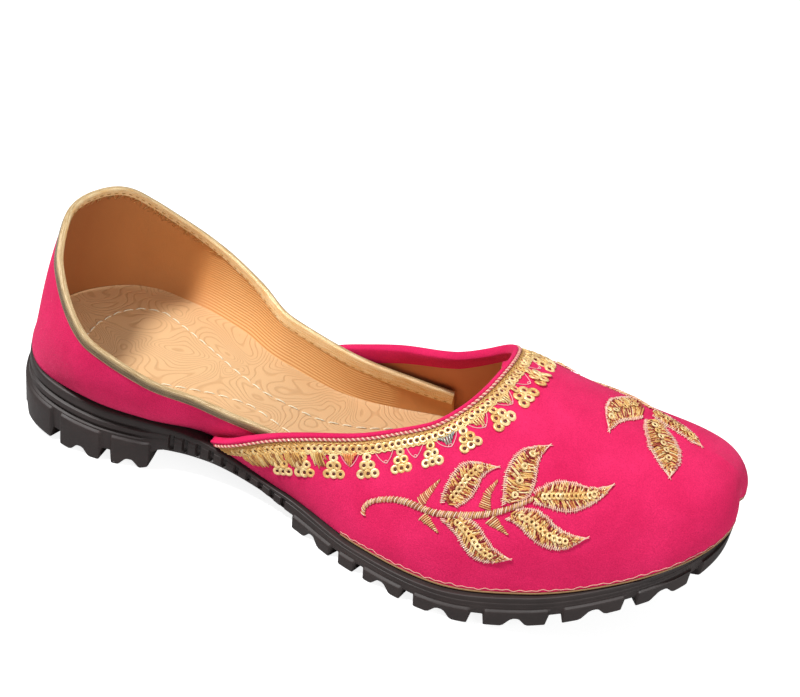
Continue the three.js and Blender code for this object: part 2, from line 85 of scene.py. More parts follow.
SLOTS = np.linspace(86.75, 128.75, 10)
SLOT_WIDTH, SLOT_DEPTH, SLOT_SOFT = 1.6, 1.1, 0.3
LUG_FINE, NOTCH_FINE, SLOT_FINE = 0.7, 1.7, 0.45


def column(xs, ys):
    slopes = np.diff(ys) / np.diff(xs)
    product = slopes[:-1] * slopes[1:]
    inner = np.where(product > 0, 2 * product / np.where(product > 0, slopes[:-1] + slopes[1:], 1), 0)
    tangents = np.concatenate([slopes[:1], inner, slopes[-1:]])

    def at(x):
        place = np.clip(x, xs[0], xs[-1])
        i = np.clip(np.searchsorted(xs, place) - 1, 0, len(xs) - 2)
        span = xs[i + 1] - xs[i]
        t = (place - xs[i]) / span
        start = ys[i] * (1 + 2 * t) * (1 - t) ** 2 + tangents[i] * span * t * (1 - t) ** 2
        end = ys[i + 1] * t * t * (3 - 2 * t) + tangents[i + 1] * span * t * t * (t - 1)
        return start + end

    return at


feather_at = column(LAST[:, 0], LAST[:, 2])
sole_out_at = column(LAST[:, 0], LAST[:, 7])
tread_at = column(UNDERSIDE[:, 0], UNDERSIDE[:, 1])
body_at = column(UNDERSIDE[:, 0], UNDERSIDE[:, 2])


def smooth(x, low, high):
    t = np.clip((x - low) / (high - low), 0, 1)
    return t * t * (3 - 2 * t)


def band(x, low, high, soft):
    return smooth(x, low - soft, low + soft) * (1 - smooth(x, high - soft, high + soft))


def edges_of(middle, width):
    return middle - width / 2, middle + width / 2


def path_length(points):
    return np.concatenate([[0], np.cumsum(np.linalg.norm(np.diff(points, axis=0), axis=1))])


def interpolated(places, marks, values):
    return np.stack([np.interp(places, marks, values[:, k]) for k in range(values.shape[1])], -1)


def feather_line():
    near = LAST[:, :2] * (1, -1)
    ring = np.concatenate([near, near[-2:0:-1] * (1, -1)])
    place = np.linspace(0, len(near) - 1, 801)
    first = np.minimum(place.astype(int), len(near) - 2)
    w = (place - first)[:, None]
    a, b, c, d = (ring[(first + k) % len(ring)] for k in (-1, 0, 1, 2))
    ab, bc, cd = (np.sqrt(np.linalg.norm(q - p, axis=1))[:, None] for p, q in ((a, b), (b, c), (c, d)))
    leave = ((b - a) / ab - (c - a) / (ab + bc) + (c - b) / bc) * bc
    reach = ((c - b) / bc - (d - b) / (bc + cd) + (d - c) / cd) * bc
    points = b + leave * w + (3 * (c - b) - 2 * leave - reach) * w**2 + (2 * (b - c) + leave + reach) * w**3
    length = path_length(points)
    run = np.gradient(points, axis=0)
    out = np.stack([run[:, 1], -run[:, 0]], 1) / np.linalg.norm(run, axis=1)[:, None]
    points[0, 1] = points[-1, 1] = 0
    out[0], out[-1] = (-1, 0), (1, 0)
    return length, points, out


LENGTHS, OUTLINE, OUTWARD = feather_line()
FEATHER_LENGTH = LENGTHS[-1]


def edge_at(along):
    point = interpolated(along, LENGTHS, OUTLINE)
    out = interpolated(along, LENGTHS, OUTWARD)
    return point, out / np.linalg.norm(out, axis=-1, keepdims=True)


def in_frame(points):
    return ((points - np.array((MIDDLE, 0, 0))) * 0.001).astype(np.float32)


def lofted(name, rows):
    count, width = rows.shape[:2]
    bpy.ops.mesh.primitive_grid_add(x_subdivisions=width - 1, y_subdivisions=count - 1, size=1)
    piece = bpy.context.object
    piece.name = name
    piece.data.vertices.foreach_set("co", in_frame(rows).ravel())
    piece.data.update()
    return piece


def merge_points(piece):
    bpy.ops.object.mode_set(mode="EDIT")
    bpy.ops.mesh.select_all(action="SELECT")
    bpy.ops.mesh.remove_doubles(threshold=1e-5)
    bpy.ops.mesh.dissolve_degenerate(threshold=1e-6)
    bpy.ops.object.mode_set(mode="OBJECT")


def with_other_side(piece):
    mirror = piece.modifiers.new("other_side", "MIRROR")
    mirror.use_axis = (False, True, False)
    mirror.merge_threshold = 2e-5
    bpy.ops.object.modifier_apply(modifier=mirror.name)
    merge_points(piece)


def sole_rows():
    middles = [notch for *_, notch in LUGS if notch]
    bends = [(edge, LUG_FINE) for low, high, _ in LUGS for edge in (low, high)]
    bends += [(edge, NOTCH_FINE) for middle in middles for edge in edges_of(middle, NOTCH_WIDTH)]
    bends += [(edge, SLOT_FINE) for middle in SLOTS for edge in edges_of(middle, SLOT_WIDTH)]
    fine = [edge + reach * step for edge, reach in bends for step in (-1, -0.5, 0, 0.5, 1)]
    along = np.concatenate([np.linspace(0, FEATHER_LENGTH, 200), fine])
    along = np.unique(np.round(along[(along >= 0) & (along <= FEATHER_LENGTH)], 2))
    along[-1] = FEATHER_LENGTH
    edge, out = edge_at(along)
    lug = np.max([band(along, low, high, LUG_SOFT) for low, high, _ in LUGS], axis=0)
    notch = np.max([band(along, *edges_of(m, NOTCH_WIDTH), NOTCH_SOFT) for m in middles], axis=0)
    slot = np.max([band(along, *edges_of(m, SLOT_WIDTH), SLOT_SOFT) for m in SLOTS], axis=0)
    base = sole_out_at(edge[:, 0])
    grooved = 1 - smooth(edge[:, 0], *GROOVES_FADE)

    def row(offset, height):
        x = edge[:, 0] + out[:, 0] * offset
        return np.stack([x, edge[:, 1] + out[:, 1] * offset, height(x)], -1)

    def side_height(share):
        return lambda x: body_at(x) + (feather_at(x) - body_at(x)) * share

    def lug_top(x):
        return tread_at(x) + (feather_at(x) - tread_at(x)) * LUG_RISE

    def low(x):
        return body_at(x) + (tread_at(x) - body_at(x)) * lug

    def notched(x):
        return low(x) + NOTCH_DEPTH * notch * lug

    rows = []
    for up, step, groove in SOLE_SIDE:
        cut = groove * grooved * GROOVE_DEPTH + slot * SLOT_DEPTH * smooth(0.8 - up, 0, 0.1)
        rows.append(row(base + step - cut, side_height(up)))
    for drop, share in ((-0.4, 0), (-0.15, 0.3), (0.1, 0.85), (0.35, 1)):
        rows.append(row(base + 0.6 + LUG_OUT * share * lug - slot * SLOT_DEPTH, lambda x: lug_top(x) - drop))
    for share in (0.25, 0.5, 0.75, 0.92):
        def height(x):
            return (lug_top(x) - 0.35) * (1 - share) + (notched(x) + 0.4) * share

        cut = slot * SLOT_DEPTH * (1 - smooth(share, 0.6, 0.95))
        rows.append(row(base + 0.6 - 0.3 * share + LUG_OUT * lug - cut, height))
    for lift, step in ((0.4, 0.3), (0.14, 0.1), (0, -0.35)):
        rows.append(row(base + step + LUG_OUT * lug, lambda x: notched(x) + lift))
    for reach, cut in ((1.5, 1), (4.2, 1), (5, 0.5), (5.6, 0), (8, 0), (LUG_REACH - 0.6, 0)):
        rows.append(row(base + LUG_OUT * lug - reach, lambda x: low(x) + NOTCH_DEPTH * notch * lug * cut))
    for reach in (LUG_REACH + 0.2, LUG_REACH + 1.5):
        rows.append(row(base - reach, body_at))
    rows += [rows[-1] * (1, share, 1) for share in (0.66, 0.33, 0)]
    return np.stack([rows[0] * (1, 0, 1), *rows])[::-1]


outsole = lofted("outsole_rubber", sole_rows())
with_other_side(outsole)
bpy.ops.object.shade_smooth_by_angle(angle=math.radians(38))


def set_inputs(tree, node, inputs):
    for name, value in inputs.items():
        if isinstance(value, bpy.types.NodeSocket):
            tree.links.new(value, node.inputs[name])
        else:
            node.inputs[name].default_value = value


def add_node(tree, kind, inputs=None, **settings):
    made = tree.nodes.new(kind)
    for name, value in settings.items():
        setattr(made, name, value)
    set_inputs(tree, made, inputs or {})
    return made


def noise(tree, place, scale, detail, roughness, distortion=0):
    inputs = {"Vector": place, "Scale": scale, "Detail": detail}
    inputs |= {"Roughness": roughness, "Distortion": distortion}
    return add_node(tree, "ShaderNodeTexNoise", inputs).outputs["Fac"]


def grain_group():
    tree = bpy.data.node_groups.new("grain", "ShaderNodeTree")
    for label in ("Patch scale", "Grain scale"):
        tree.interface.new_socket(label, in_out="INPUT", socket_type="NodeSocketFloat")
    for label in ("Patch", "Grain"):
        tree.interface.new_socket(label, in_out="OUTPUT", socket_type="NodeSocketFloat")
    given = tree.nodes.new("NodeGroupInput").outputs
    result = tree.nodes.new("NodeGroupOutput").inputs
    place = add_node(tree, "ShaderNodeTexCoord").outputs["Object"]
    tree.links.new(noise(tree, place, given["Patch scale"], 4, 0.6), result["Patch"])
    tree.links.new(noise(tree, place, given["Grain scale"], 3, 0.65), result["Grain"])
    return tree


GRAIN = grain_group()


def new_material(name):
    material = bpy.data.materials.new(name)
    material.use_nodes = True
    return material, material.node_tree, material.node_tree.nodes["Principled BSDF"]


def add_grain(tree, patch_scale, grain_scale):
    scales = {"Patch scale": patch_scale, "Grain scale": grain_scale}
    return add_node(tree, "ShaderNodeGroup", scales, node_tree=GRAIN).outputs


def mixed(tree, share, low, high):
    made = add_node(tree, "ShaderNodeMix", {"Factor": share, 6: low, 7: high}, data_type="RGBA")
    return made.outputs[2]


def ranged(tree, value, low, high, to_low, to_high):
    inputs = {"Value": value, "From Min": low, "From Max": high, "To Min": to_low, "To Max": to_high}
    return add_node(tree, "ShaderNodeMapRange", inputs).outputs["Result"]


def calculated(tree, operation, first, second):
    return add_node(tree, "ShaderNodeMath", {0: first, 1: second}, operation=operation).outputs[0]


def bumped(tree, height, strength, distance):
    inputs = {"Height": height, "Strength": strength, "Distance": distance}
    return add_node(tree, "ShaderNodeBump", inputs).outputs["Normal"]


def rubber():
    material, tree, shader = new_material("sole_rubber")
    grain = add_grain(tree, 55, 1400)
    dusty = ranged(tree, grain["Patch"], 0.42, 0.72, 0, 1)
    colour = mixed(tree, dusty, (0.019, 0.012, 0.011, 1), (0.034, 0.023, 0.021, 1))
    place = add_node(tree, "ShaderNodeTexCoord").outputs["Object"]
    # Lighter rubber along sharp edges, in noisy patches: partly scuffs, partly a painted highlight on the
    # edges.
    scuffs_and_edge_highlight = ranged(tree, noise(tree, place, 160, 6, 0.75), 0.6, 0.78, 0, 0.55)
    edge = add_node(tree, "ShaderNodeNewGeometry").outputs["Pointiness"]
    scuffs_and_edge_highlight = calculated(tree, "MULTIPLY", scuffs_and_edge_highlight, ranged(tree, edge, 0.5, 0.56, 0.15, 1))
    colour = mixed(tree, scuffs_and_edge_highlight, colour, (0.085, 0.072, 0.068, 1))
    set_inputs(tree, shader, {
        "Base Color": colour,
        "Roughness": ranged(tree, grain["Patch"], 0.3, 0.7, 0.46, 0.62),
        "Normal": bumped(tree, grain["Grain"], 0.16, 0.0003),
        "Specular IOR Level": 0.45,
    })
    return material


outsole.data.materials.append(rubber())
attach(outsole, "root")
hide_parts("outsole")

# Insole: a tan leatherette sheet on board, glued into the bottom of the shoe. Its face is embossed with
# swirling contour lines, and a cream running stitch follows its shape inside the edge.
INSOLE_THICKNESS = 2
WALL = 2
TUCK = 3.7
TUCK_FROM, TUCK_TO = 56, 76
QUARTER_FRONT = 134
FLARE_HEIGHT = 0.22
HEEL_SPINE, THROAT_PEAK, RIDGE_END, WING_END = 64, 159, 219, 78
TOE_CLEFT, TOE_CLEFT_WIDTH = 3.4, 5
STITCH_LINE = np.array([
    # x, half_width
    (17, 0), (18.4, 10.9), (23, 18.8), (30, 22.5), (41, 18.9), (52, 14.5), (66, 8.2), (78, 4.7), (85, 5.4),
    (98, 7), (112, 12.5), (127, 24), (142, 31),
])
STITCH_PITCH, STITCH_LENGTH, STITCH_RADIUS = 4.7, 4.0, 0.27


def along_at(x):
    return np.interp(x, OUTLINE[:, 0], LENGTHS)


PEAK_ALONG = along_at(THROAT_PEAK)


def tuck_at(x):
    return TUCK * smooth(x, TUCK_FROM, TUCK_TO)


def unit(vectors):
    return vectors / np.maximum(np.linalg.norm(vectors, axis=-1, keepdims=True), 1e-9)


crown_at, roundness_at, flare_at, collar_at = (column(LAST[:, 0], LAST[:, k]) for k in range(3, 7))


def spine_at(along):
    share = (along - PEAK_ALONG) / (FEATHER_LENGTH - PEAK_ALONG)
    ahead = THROAT_PEAK + (RIDGE_END - THROAT_PEAK) * share
    return np.where(along > PEAK_ALONG, ahead, np.maximum(edge_at(along)[0][..., 0], HEEL_SPINE))


def wall_point(along, turn):
    edge, out = edge_at(along)
    spine = spine_at(along)
    power = 2 / roundness_at(edge[..., 0])
    rise = np.sin(turn) ** power
    inward = 1 - np.maximum(np.cos(turn), 0) ** power
    lean = rise / FLARE_HEIGHT * np.exp(1 - rise / FLARE_HEIGHT) * (1 - rise**2)
    flare = flare_at(edge[..., 0]) * lean / (1 - FLARE_HEIGHT**2)
    foot = feather_at(edge[..., 0]) + SEAT
    x = edge[..., 0] + (spine - edge[..., 0]) * inward + out[..., 0] * flare
    y = edge[..., 1] * (1 - inward) + out[..., 1] * flare
    z = foot + (crown_at(spine) - foot) * rise
    front = smooth(along, PEAK_ALONG, FEATHER_LENGTH)
    x = x - TOE_CLEFT * front * np.exp(-((y / TOE_CLEFT_WIDTH) ** 2)) * (1 - rise) ** 2
    return np.stack([x, y, z], -1)


def turn_at(along, height):
    edge = edge_at(along)[0]
    foot = feather_at(edge[..., 0]) + SEAT
    rise = (height - foot) / (crown_at(spine_at(along)) - foot)
    return np.arcsin(np.clip(rise, 0, 1) ** (roundness_at(edge[..., 0]) / 2))


def on_middle(along, turn):
    return (along <= 1e-6) | (along >= FEATHER_LENGTH - 1e-6) | (turn >= math.pi / 2 - 1e-6)


def wall_normal(along, turn):
    ahead = wall_point(np.minimum(along + 0.5, FEATHER_LENGTH), turn)
    run = ahead - wall_point(np.maximum(along - 0.5, 0), turn)
    across = np.where(along <= 1e-6, -1.0, 1.0)[..., None] * np.array((0, 1.0, 0))
    run = np.where(((along <= 1e-6) | (along >= FEATHER_LENGTH - 1e-6))[..., None], across, run)
    above = wall_point(along, np.minimum(turn + 0.002, math.pi / 2))
    normal = np.cross(run, above - wall_point(along, np.maximum(turn - 0.002, 0)))
    normal[..., 1] = np.where(on_middle(along, turn), 0, normal[..., 1])
    return unit(normal)


def wall_at(along, turn, depth):
    along, turn = np.broadcast_arrays(np.asarray(along, float), np.asarray(turn, float))
    point = wall_point(along, turn) - wall_normal(along, turn) * np.asarray(depth, float)[..., None]
    point[..., 1] = np.where(on_middle(along, turn), 0, point[..., 1])
    return point


def insole_rows():
    along = np.linspace(0, FEATHER_LENGTH, 180)
    edge, out = edge_at(along)
    in_front = smooth(edge[:, 0], QUARTER_FRONT, QUARTER_FRONT + TUCK_TO - TUCK_FROM)
    tuck = (tuck_at(edge[:, 0]) * (1 - in_front))[:, None] * out

    def rim(lift, inset):
        turn = turn_at(along, feather_at(edge[:, 0]) + SEAT + lift)
        flat = wall_at(along, turn, np.full(len(along), WALL + inset))[:, :2] - tuck
        flat[0, 1] = flat[-1, 1] = 0
        return flat

    def row(flat, share, lift):
        return np.stack([flat[:, 0], flat[:, 1] * share, feather_at(flat[:, 0]) + SEAT + lift], -1)

    foot, top = rim(0.1, 0.5), rim(2.6, -0.3)
    under = [row(foot, share, 0) for share in (0, 0.5, 1)]
    side = [row((foot + top) / 2, 1, 1.2), row(top, 1, 2.5), row(top, 0.985, INSOLE_THICKNESS + 0.25)]
    face = [row(top, share, INSOLE_THICKNESS) for share in np.linspace(0.95, 0, 14)]
    return np.stack(under + side + face)


insole = lofted("insole_leatherette", insole_rows())
with_other_side(insole)
bpy.ops.object.shade_smooth_by_angle(angle=math.radians(45))


def leatherette():
    material, tree, shader = new_material("insole_leatherette")
    grain = add_grain(tree, 30, 1600)
    place = add_node(tree, "ShaderNodeTexCoord").outputs["Object"]
    swirl = noise(tree, place, 50, 0.8, 0.4, 0.5)
    line = calculated(tree, "SINE", calculated(tree, "MULTIPLY", swirl, 176), 0)
    groove = ranged(tree, line, 0.45, 1, 0, 1)
    colour = mixed(tree, grain["Patch"], (0.68, 0.415, 0.205, 1), (0.77, 0.495, 0.26, 1))
    # The embossed grooves are also painted darker: painted shade in the grooves, besides the bump.
    colour = mixed(tree, calculated(tree, "MULTIPLY", groove, 0.31), colour, (0.40, 0.20, 0.075, 1))
    height = calculated(tree, "SUBTRACT", calculated(tree, "MULTIPLY", grain["Grain"], 0.25), groove)
    set_inputs(tree, shader, {
        "Base Color": colour,
        "Roughness": 0.46,
        "Normal": bumped(tree, height, 0.4, 0.0003),
        "Specular IOR Level": 0.4,
    })
    return material


insole.data.materials.append(leatherette())
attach(insole, "root")
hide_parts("insole")


def new_mesh(name, points, faces, tint):
    bpy.ops.mesh.primitive_plane_add(size=0.001)
    piece = bpy.context.object
    piece.name = name
    piece.data.clear_geometry()
    piece.data.from_pydata(in_frame(points).tolist(), [], faces)
    piece.data.attributes.new("tint", "FLOAT", "POINT").data.foreach_set("value", tint.astype(np.float32))
    piece.data.update()
    bpy.ops.object.shade_smooth()
    return piece


def threads(name, paths, ups, radius, tint, sides=5, flat=0.75):
    count, steps = paths.shape[:2]
    run = unit(np.gradient(paths, axis=1))
    side = unit(np.cross(ups, run))
    lift = np.cross(run, side)
    angle = 2 * math.pi * np.arange(sides) / sides
    round_ring = np.cos(angle)[:, None] * side[:, :, None] + flat * np.sin(angle)[:, None] * lift[:, :, None]
    thick = np.broadcast_to(radius, (count, steps))[:, :, None, None]
    points = (paths[:, :, None] + thick * round_ring).reshape(-1, 3)
    base = np.arange(count)[:, None, None] * steps * sides + np.arange(steps - 1)[:, None] * sides
    here = np.arange(sides)
    beyond = (here + 1) % sides
    quads = np.stack([base + here, base + beyond, base + sides + beyond, base + sides + here], -1)
    first = np.arange(count)[:, None] * steps * sides + here[::-1]
    last = np.arange(count)[:, None] * steps * sides + (steps - 1) * sides + here
    faces = quads.reshape(-1, 4).tolist() + first.tolist() + last.tolist()
    tints = np.repeat(np.broadcast_to(np.reshape(tint, (-1, 1)), (count, steps)).ravel(), sides)
    return new_mesh(name, points, faces, tints)


def walked(points, places):
    return interpolated(places, path_length(points), points)


def resampled(points, count):
    return walked(points, np.linspace(0, path_length(points)[-1], count))


def softened(line, times):
    for _ in range(times):
        line[1:-1] = (line[:-2] + 2 * line[1:-1] + line[2:]) / 4
    return line


def sew_on(piece, material):
    piece.data.materials.append(material)
    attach(piece, "root")


def thread_material(name, colours, metallic, roughness, twist):
    material, tree, shader = new_material(name)
    tint = add_node(tree, "ShaderNodeAttribute", attribute_name="tint").outputs["Fac"]
    ramp = add_node(tree, "ShaderNodeValToRGB", {"Fac": tint})
    for _ in colours[2:]:
        ramp.color_ramp.elements.new(0.5)
    for i, (element, colour) in enumerate(zip(ramp.color_ramp.elements, colours)):
        element.position = i / (len(colours) - 1)
        element.color = (*colour, 1)
    grain = add_grain(tree, 260, twist)
    shade = mixed(tree, ranged(tree, grain["Grain"], 0.3, 0.7, 0.2, 0), ramp.outputs["Color"], (0, 0, 0, 1))
    set_inputs(tree, shader, {
        "Base Color": shade,
        "Metallic": metallic,
        "Roughness": roughness,
        "Normal": bumped(tree, grain["Grain"], 0.5, 0.0002),
    })
    return material


def insole_stitches():
    marks = np.linspace(0, 1, len(STITCH_LINE))
    near = softened(interpolated(np.linspace(0, 1, 400), marks, STITCH_LINE), 60)
    line = np.concatenate([near[::-1], near[1:] * (1, -1)])
    total = path_length(line)[-1]
    starts = np.arange(1, total - STITCH_LENGTH, STITCH_PITCH)
    places = starts[:, None] + np.linspace(0, STITCH_LENGTH, 5)
    flat = walked(line, places.ravel()).reshape(*places.shape, 2)
    height = feather_at(flat[..., 0]) + SEAT + INSOLE_THICKNESS + np.array((-0.15, 0.2, 0.26, 0.2, -0.15))
    paths = np.concatenate([flat, height[..., None]], -1)
    radius = STITCH_RADIUS * np.array((0.6, 1, 1, 1, 0.6))
    ups = np.broadcast_to((0, 0, 1.0), paths.shape)
    return threads("insole_stitches", paths, ups, radius, np.zeros(len(paths)))


cream_thread = thread_material("cream_thread", ((0.96, 0.87, 0.64), (0.90, 0.80, 0.58)), 0, 0.6, 3000)
sew_on(insole_stitches(), cream_thread)

# Quarter: the back part of the upper, a band of pink velvet backed with tan lining that wraps the heel
# and runs forward inside the wings of the vamp. It is lasted under, and cemented to the sole at its foot.
QUARTER_WALL = 1.5
RIBS_FROM, RIBS_TO, RIB_PITCH = 62, 138, 0.85
VELVET_DARK = (0.70, 0.015, 0.10, 1)
VELVET_BRIGHT = (0.89, 0.028, 0.150, 1)
TAN_CLOTH = ((0.54, 0.215, 0.062, 1), (0.65, 0.29, 0.095, 1))


def lay_uv(piece, first, second):
    corners = np.empty(len(piece.data.loops), np.int32)
    piece.data.loops.foreach_get("vertex_index", corners)
    uv = np.stack([first.ravel(), second.ravel()], -1)[corners]
    piece.data.uv_layers.active.data.foreach_set("uv", uv.astype(np.float32).ravel())


def thicken(piece, thickness, rim):
    wall = piece.modifiers.new("wall", "SOLIDIFY")
    wall.thickness = thickness * 0.001
    wall.offset = -1
    wall.use_quality_normals = True
    wall.material_offset = 1
    wall.material_offset_rim = rim
    bpy.ops.object.modifier_apply(modifier=wall.name)


def quarter_at(along, turn, depth):
    edge, out = edge_at(along)
    point = wall_at(along, turn, depth)
    point[..., :2] -= out * tuck_at(edge[..., 0])[..., None]
    return point


def quarter_shell():
    along = np.linspace(0, along_at(QUARTER_FRONT), 150)
    x = edge_at(along)[0][:, 0]
    share = np.linspace(0, 1, 34)[:, None]
    turn = turn_at(along, collar_at(x)) * share
    soft = 0.35 * np.sin(along * 0.21) * np.sin(share * math.pi) + 0.25 * np.sin(along * 0.09 + share * 5)
    soft = soft * smooth(along, 6, 20) * np.sin(share * math.pi)
    points = quarter_at(along, turn, np.maximum(soft, 0) * 0.6)
    piece = lofted("quarter_velvet", points)
    lay_uv(piece, np.broadcast_to(along, turn.shape), points[..., 2] - points[:1, :, 2])
    with_other_side(piece)
    bpy.ops.object.shade_smooth()
    return piece


quarter = quarter_shell()


def velvet(name):
    material, tree, shader = new_material(name)
    grain = add_grain(tree, 62, 2600)
    brushed = ranged(tree, grain["Patch"], 0.3, 0.72, 0, 1)
    colour = mixed(tree, brushed, VELVET_DARK, VELVET_BRIGHT)
    nap = ranged(tree, grain["Grain"], 0.32, 0.68, 0.5, 0)
    colour = mixed(tree, nap, colour, (0.42, 0.006, 0.062, 1))
    height = calculated(tree, "ADD", grain["Grain"], calculated(tree, "MULTIPLY", grain["Patch"], 0.8))
    set_inputs(tree, shader, {
        "Base Color": colour,
        "Roughness": 0.85,
        "Normal": bumped(tree, height, 0.5, 0.0005),
        "Specular IOR Level": 0.12,
        "Sheen Weight": 0.18,
        "Sheen Roughness": 0.38,
        "Sheen Tint": (1, 0.26, 0.44, 1),
    })
    return material


def ribbed_lining(name, rib_from, rib_to, dark, bright):
    material, tree, shader = new_material(name)
    grain = add_grain(tree, 45, 1500)
    place = add_node(tree, "ShaderNodeTexCoord").outputs["UV"]
    uv = add_node(tree, "ShaderNodeSeparateXYZ", {0: place}).outputs
    rib = calculated(tree, "SINE", calculated(tree, "MULTIPLY", uv["Y"], 2 * math.pi / RIB_PITCH), 0)
    near = ranged(tree, uv["X"], rib_from - 8, rib_from + 6, 0, 1)
    ribbed = calculated(tree, "MULTIPLY", near, ranged(tree, uv["X"], rib_to - 2, rib_to + 2, 1, 0))
    rib = calculated(tree, "MULTIPLY", ranged(tree, rib, -0.9, 0.6, 0, 1), ribbed)
    colour = mixed(tree, grain["Patch"], dark, bright)
    # Darker brown towards the heel's back: partly a browner cloth, partly painted shade of the heel cup.
    heel_brown_and_shade = ranged(tree, uv["X"], 8, 58, 0.85, 0)
    colour = mixed(tree, heel_brown_and_shade, colour, (0.30, 0.092, 0.026, 1))
    # The rib valleys are painted darker than the crests: painted shade in the valleys, besides the bump.
    colour = mixed(tree, calculated(tree, "MULTIPLY", rib, 0.6), colour, (0.86, 0.52, 0.20, 1))
    height = calculated(tree, "ADD", rib, calculated(tree, "MULTIPLY", grain["Grain"], 0.3))
    set_inputs(tree, shader, {
        "Base Color": colour,
        "Roughness": 0.58,
        "Normal": bumped(tree, height, 0.4, 0.0004),
        "Specular IOR Level": 0.3,
    })
    return material


quarter.data.materials.append(velvet("quarter_velvet"))
quarter.data.materials.append(ribbed_lining("quarter_lining", RIBS_FROM, RIBS_TO, *TAN_CLOTH))
thicken(quarter, QUARTER_WALL, 1)
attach(quarter, "root")
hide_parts("upper_quarter")

# Collar binding: a strip of gold foil cloth folded over the top of the quarter, deeper inside towards the
# front. Small stitches hold its inner edge, and loose gold threads of the weave hang out round the heel.
BINDING, BINDING_OUTSIDE = 0.35, 2.3
BINDING_INSIDE = np.array([
    # x, depth
    (-1, 1.7), (15, 1.8), (38, 2.4), (72, 3.6), (104, 4.5), (134, 5),
])
DASH_PITCH, DASH_LENGTH, DASH_RADIUS, DASH_ABOVE_HEM = 3.3, 1.8, 0.16, 0.9
FRAY_COUNT, FRAY_UP_TO, FRAY_RADIUS = 150, 66, 0.1


def edge_frames(points, along, turn):
    out = wall_normal(along, turn)
    run = unit(np.gradient(points, axis=0))
    middle = on_middle(along, turn)
    run[middle] = np.where(along[middle] <= 1e-6, -1.0, 1.0)[:, None] * np.array((0, 1.0, 0))
    return out, unit(np.cross(out, run))


def swept(name, points, out, up, section):
    rows = points[None] + section[..., :1] * out + section[..., 1:] * up
    middle = np.abs(points[:, 1]) < 1e-6
    rows[:, middle, 1] = 0
    piece = lofted(name, rows)
    steps = np.linalg.norm(np.diff(rows, axis=0), axis=2).mean(axis=1)
    round_it = np.concatenate([[0], np.cumsum(steps)])
    lay_uv(piece, *np.broadcast_arrays(path_length(points)[None], round_it[:, None]))
    with_other_side(piece)
    bpy.ops.object.mode_set(mode="EDIT")
    bpy.ops.mesh.select_all(action="SELECT")
    bpy.ops.mesh.fill_holes(sides=0)
    bpy.ops.mesh.normals_make_consistent(inside=False)
    bpy.ops.object.mode_set(mode="OBJECT")
    bpy.ops.object.shade_smooth_by_angle(angle=math.radians(50))
    return piece


def arc(centre, reach, start, end, count):
    angle = np.radians(np.linspace(start, end, count))
    return [(centre[0] + reach[0] * math.cos(a), centre[1] + reach[1] * math.sin(a)) for a in angle]


collar_along = np.linspace(0, along_at(QUARTER_FRONT), 220)
collar_x = edge_at(collar_along)[0][:, 0]
collar_turn = turn_at(collar_along, collar_at(collar_x))
collar_line = quarter_at(collar_along, collar_turn, np.zeros(len(collar_along)))
collar_out, collar_up = edge_frames(collar_line, collar_along, collar_turn)
binding_inside = column(BINDING_INSIDE[:, 0], BINDING_INSIDE[:, 1])(collar_x)
inner_face = -QUARTER_WALL - BINDING


def binding_section():
    count = len(collar_x)
    fold = (BINDING + QUARTER_WALL / 2, BINDING + 0.45)
    outside = [(BINDING * 0.4, -BINDING_OUTSIDE), (BINDING, -BINDING_OUTSIDE + 0.2)]
    outside += [(BINDING, -1), (BINDING, -0.3), *arc((-QUARTER_WALL / 2, 0), fold, 0, 180, 11)]
    inside = (
        # step outwards, share of the depth
        (inner_face, 0.3), (inner_face - 0.1, 0.65), (inner_face - 0.1, 0.94), (inner_face + 0.1, 1),
        (-QUARTER_WALL - 0.02, 1),
    )
    under = ((-QUARTER_WALL, 0.05), (0, 0.05), (0, -BINDING_OUTSIDE))
    rows = [np.tile(point, (count, 1)) for point in outside]
    rows += [np.stack([np.full(count, out), -binding_inside * share], -1) for out, share in inside]
    rows += [np.tile(point, (count, 1)) for point in under]
    return np.stack(rows + rows[:1])


binding = swept("collar_binding_foil", collar_line, collar_out, collar_up, binding_section())


def gold_foil():
    material, tree, shader = new_material("gold_binding")
    uv = add_node(tree, "ShaderNodeTexCoord").outputs["UV"]
    drawn = add_node(tree, "ShaderNodeMapping", {"Vector": uv, "Scale": (0.16, 3.2, 1)}).outputs["Vector"]
    streak_and_painted_shine = ranged(tree, noise(tree, drawn, 1, 6, 0.75), 0.4, 0.72, 0, 1)
    weave = add_node(tree, "ShaderNodeMapping", {"Vector": uv, "Scale": (3.2, 3.2, 1)}).outputs["Vector"]
    weave = noise(tree, weave, 1, 2, 0.5)
    across = add_node(tree, "ShaderNodeSeparateXYZ", {0: uv}).outputs["Y"]
    outside = ranged(tree, across, 1.5, 3.0, 1, 0)
    selvedge = ranged(tree, across, 0.25, 0.5, 1, 0)
    inside = ranged(tree, across, 3.9, 4.6, 0, 1)
    # The foil is only slightly metallic, so its shine is painted into the colour: besides the gold's own
    # tone, the pale ends of the streaks, the cream fold and the pale hem are painted highlights, and the dark
    # strip outside is partly a painted dark reflection.
    fold = mixed(tree, streak_and_painted_shine, (0.36, 0.21, 0.075, 1), (0.94, 0.77, 0.47, 1))
    hem = mixed(tree, streak_and_painted_shine, (0.80, 0.48, 0.18, 1), (1.0, 0.90, 0.60, 1))
    dark = mixed(tree, streak_and_painted_shine, (0.09, 0.056, 0.03, 1), (0.34, 0.23, 0.11, 1))
    colour = mixed(tree, inside, fold, hem)
    colour = mixed(tree, calculated(tree, "SUBTRACT", outside, selvedge), colour, dark)
    height = calculated(tree, "ADD", streak_and_painted_shine, calculated(tree, "MULTIPLY", weave, 0.7))
    set_inputs(tree, shader, {
        "Base Color": colour,
        "Metallic": 0.08,
        "Roughness": ranged(tree, weave, 0.3, 0.7, 0.2, 0.38),
        "Normal": bumped(tree, height, 0.35, 0.0003),
    })
    return material


binding.data.materials.append(gold_foil())
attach(binding, "root")
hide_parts("collar_binding")


def both_sides(paths):
    return np.concatenate([paths, paths * (1, -1, 1)])


def along_collar(places, values):
    return interpolated(places, path_length(collar_line), values)


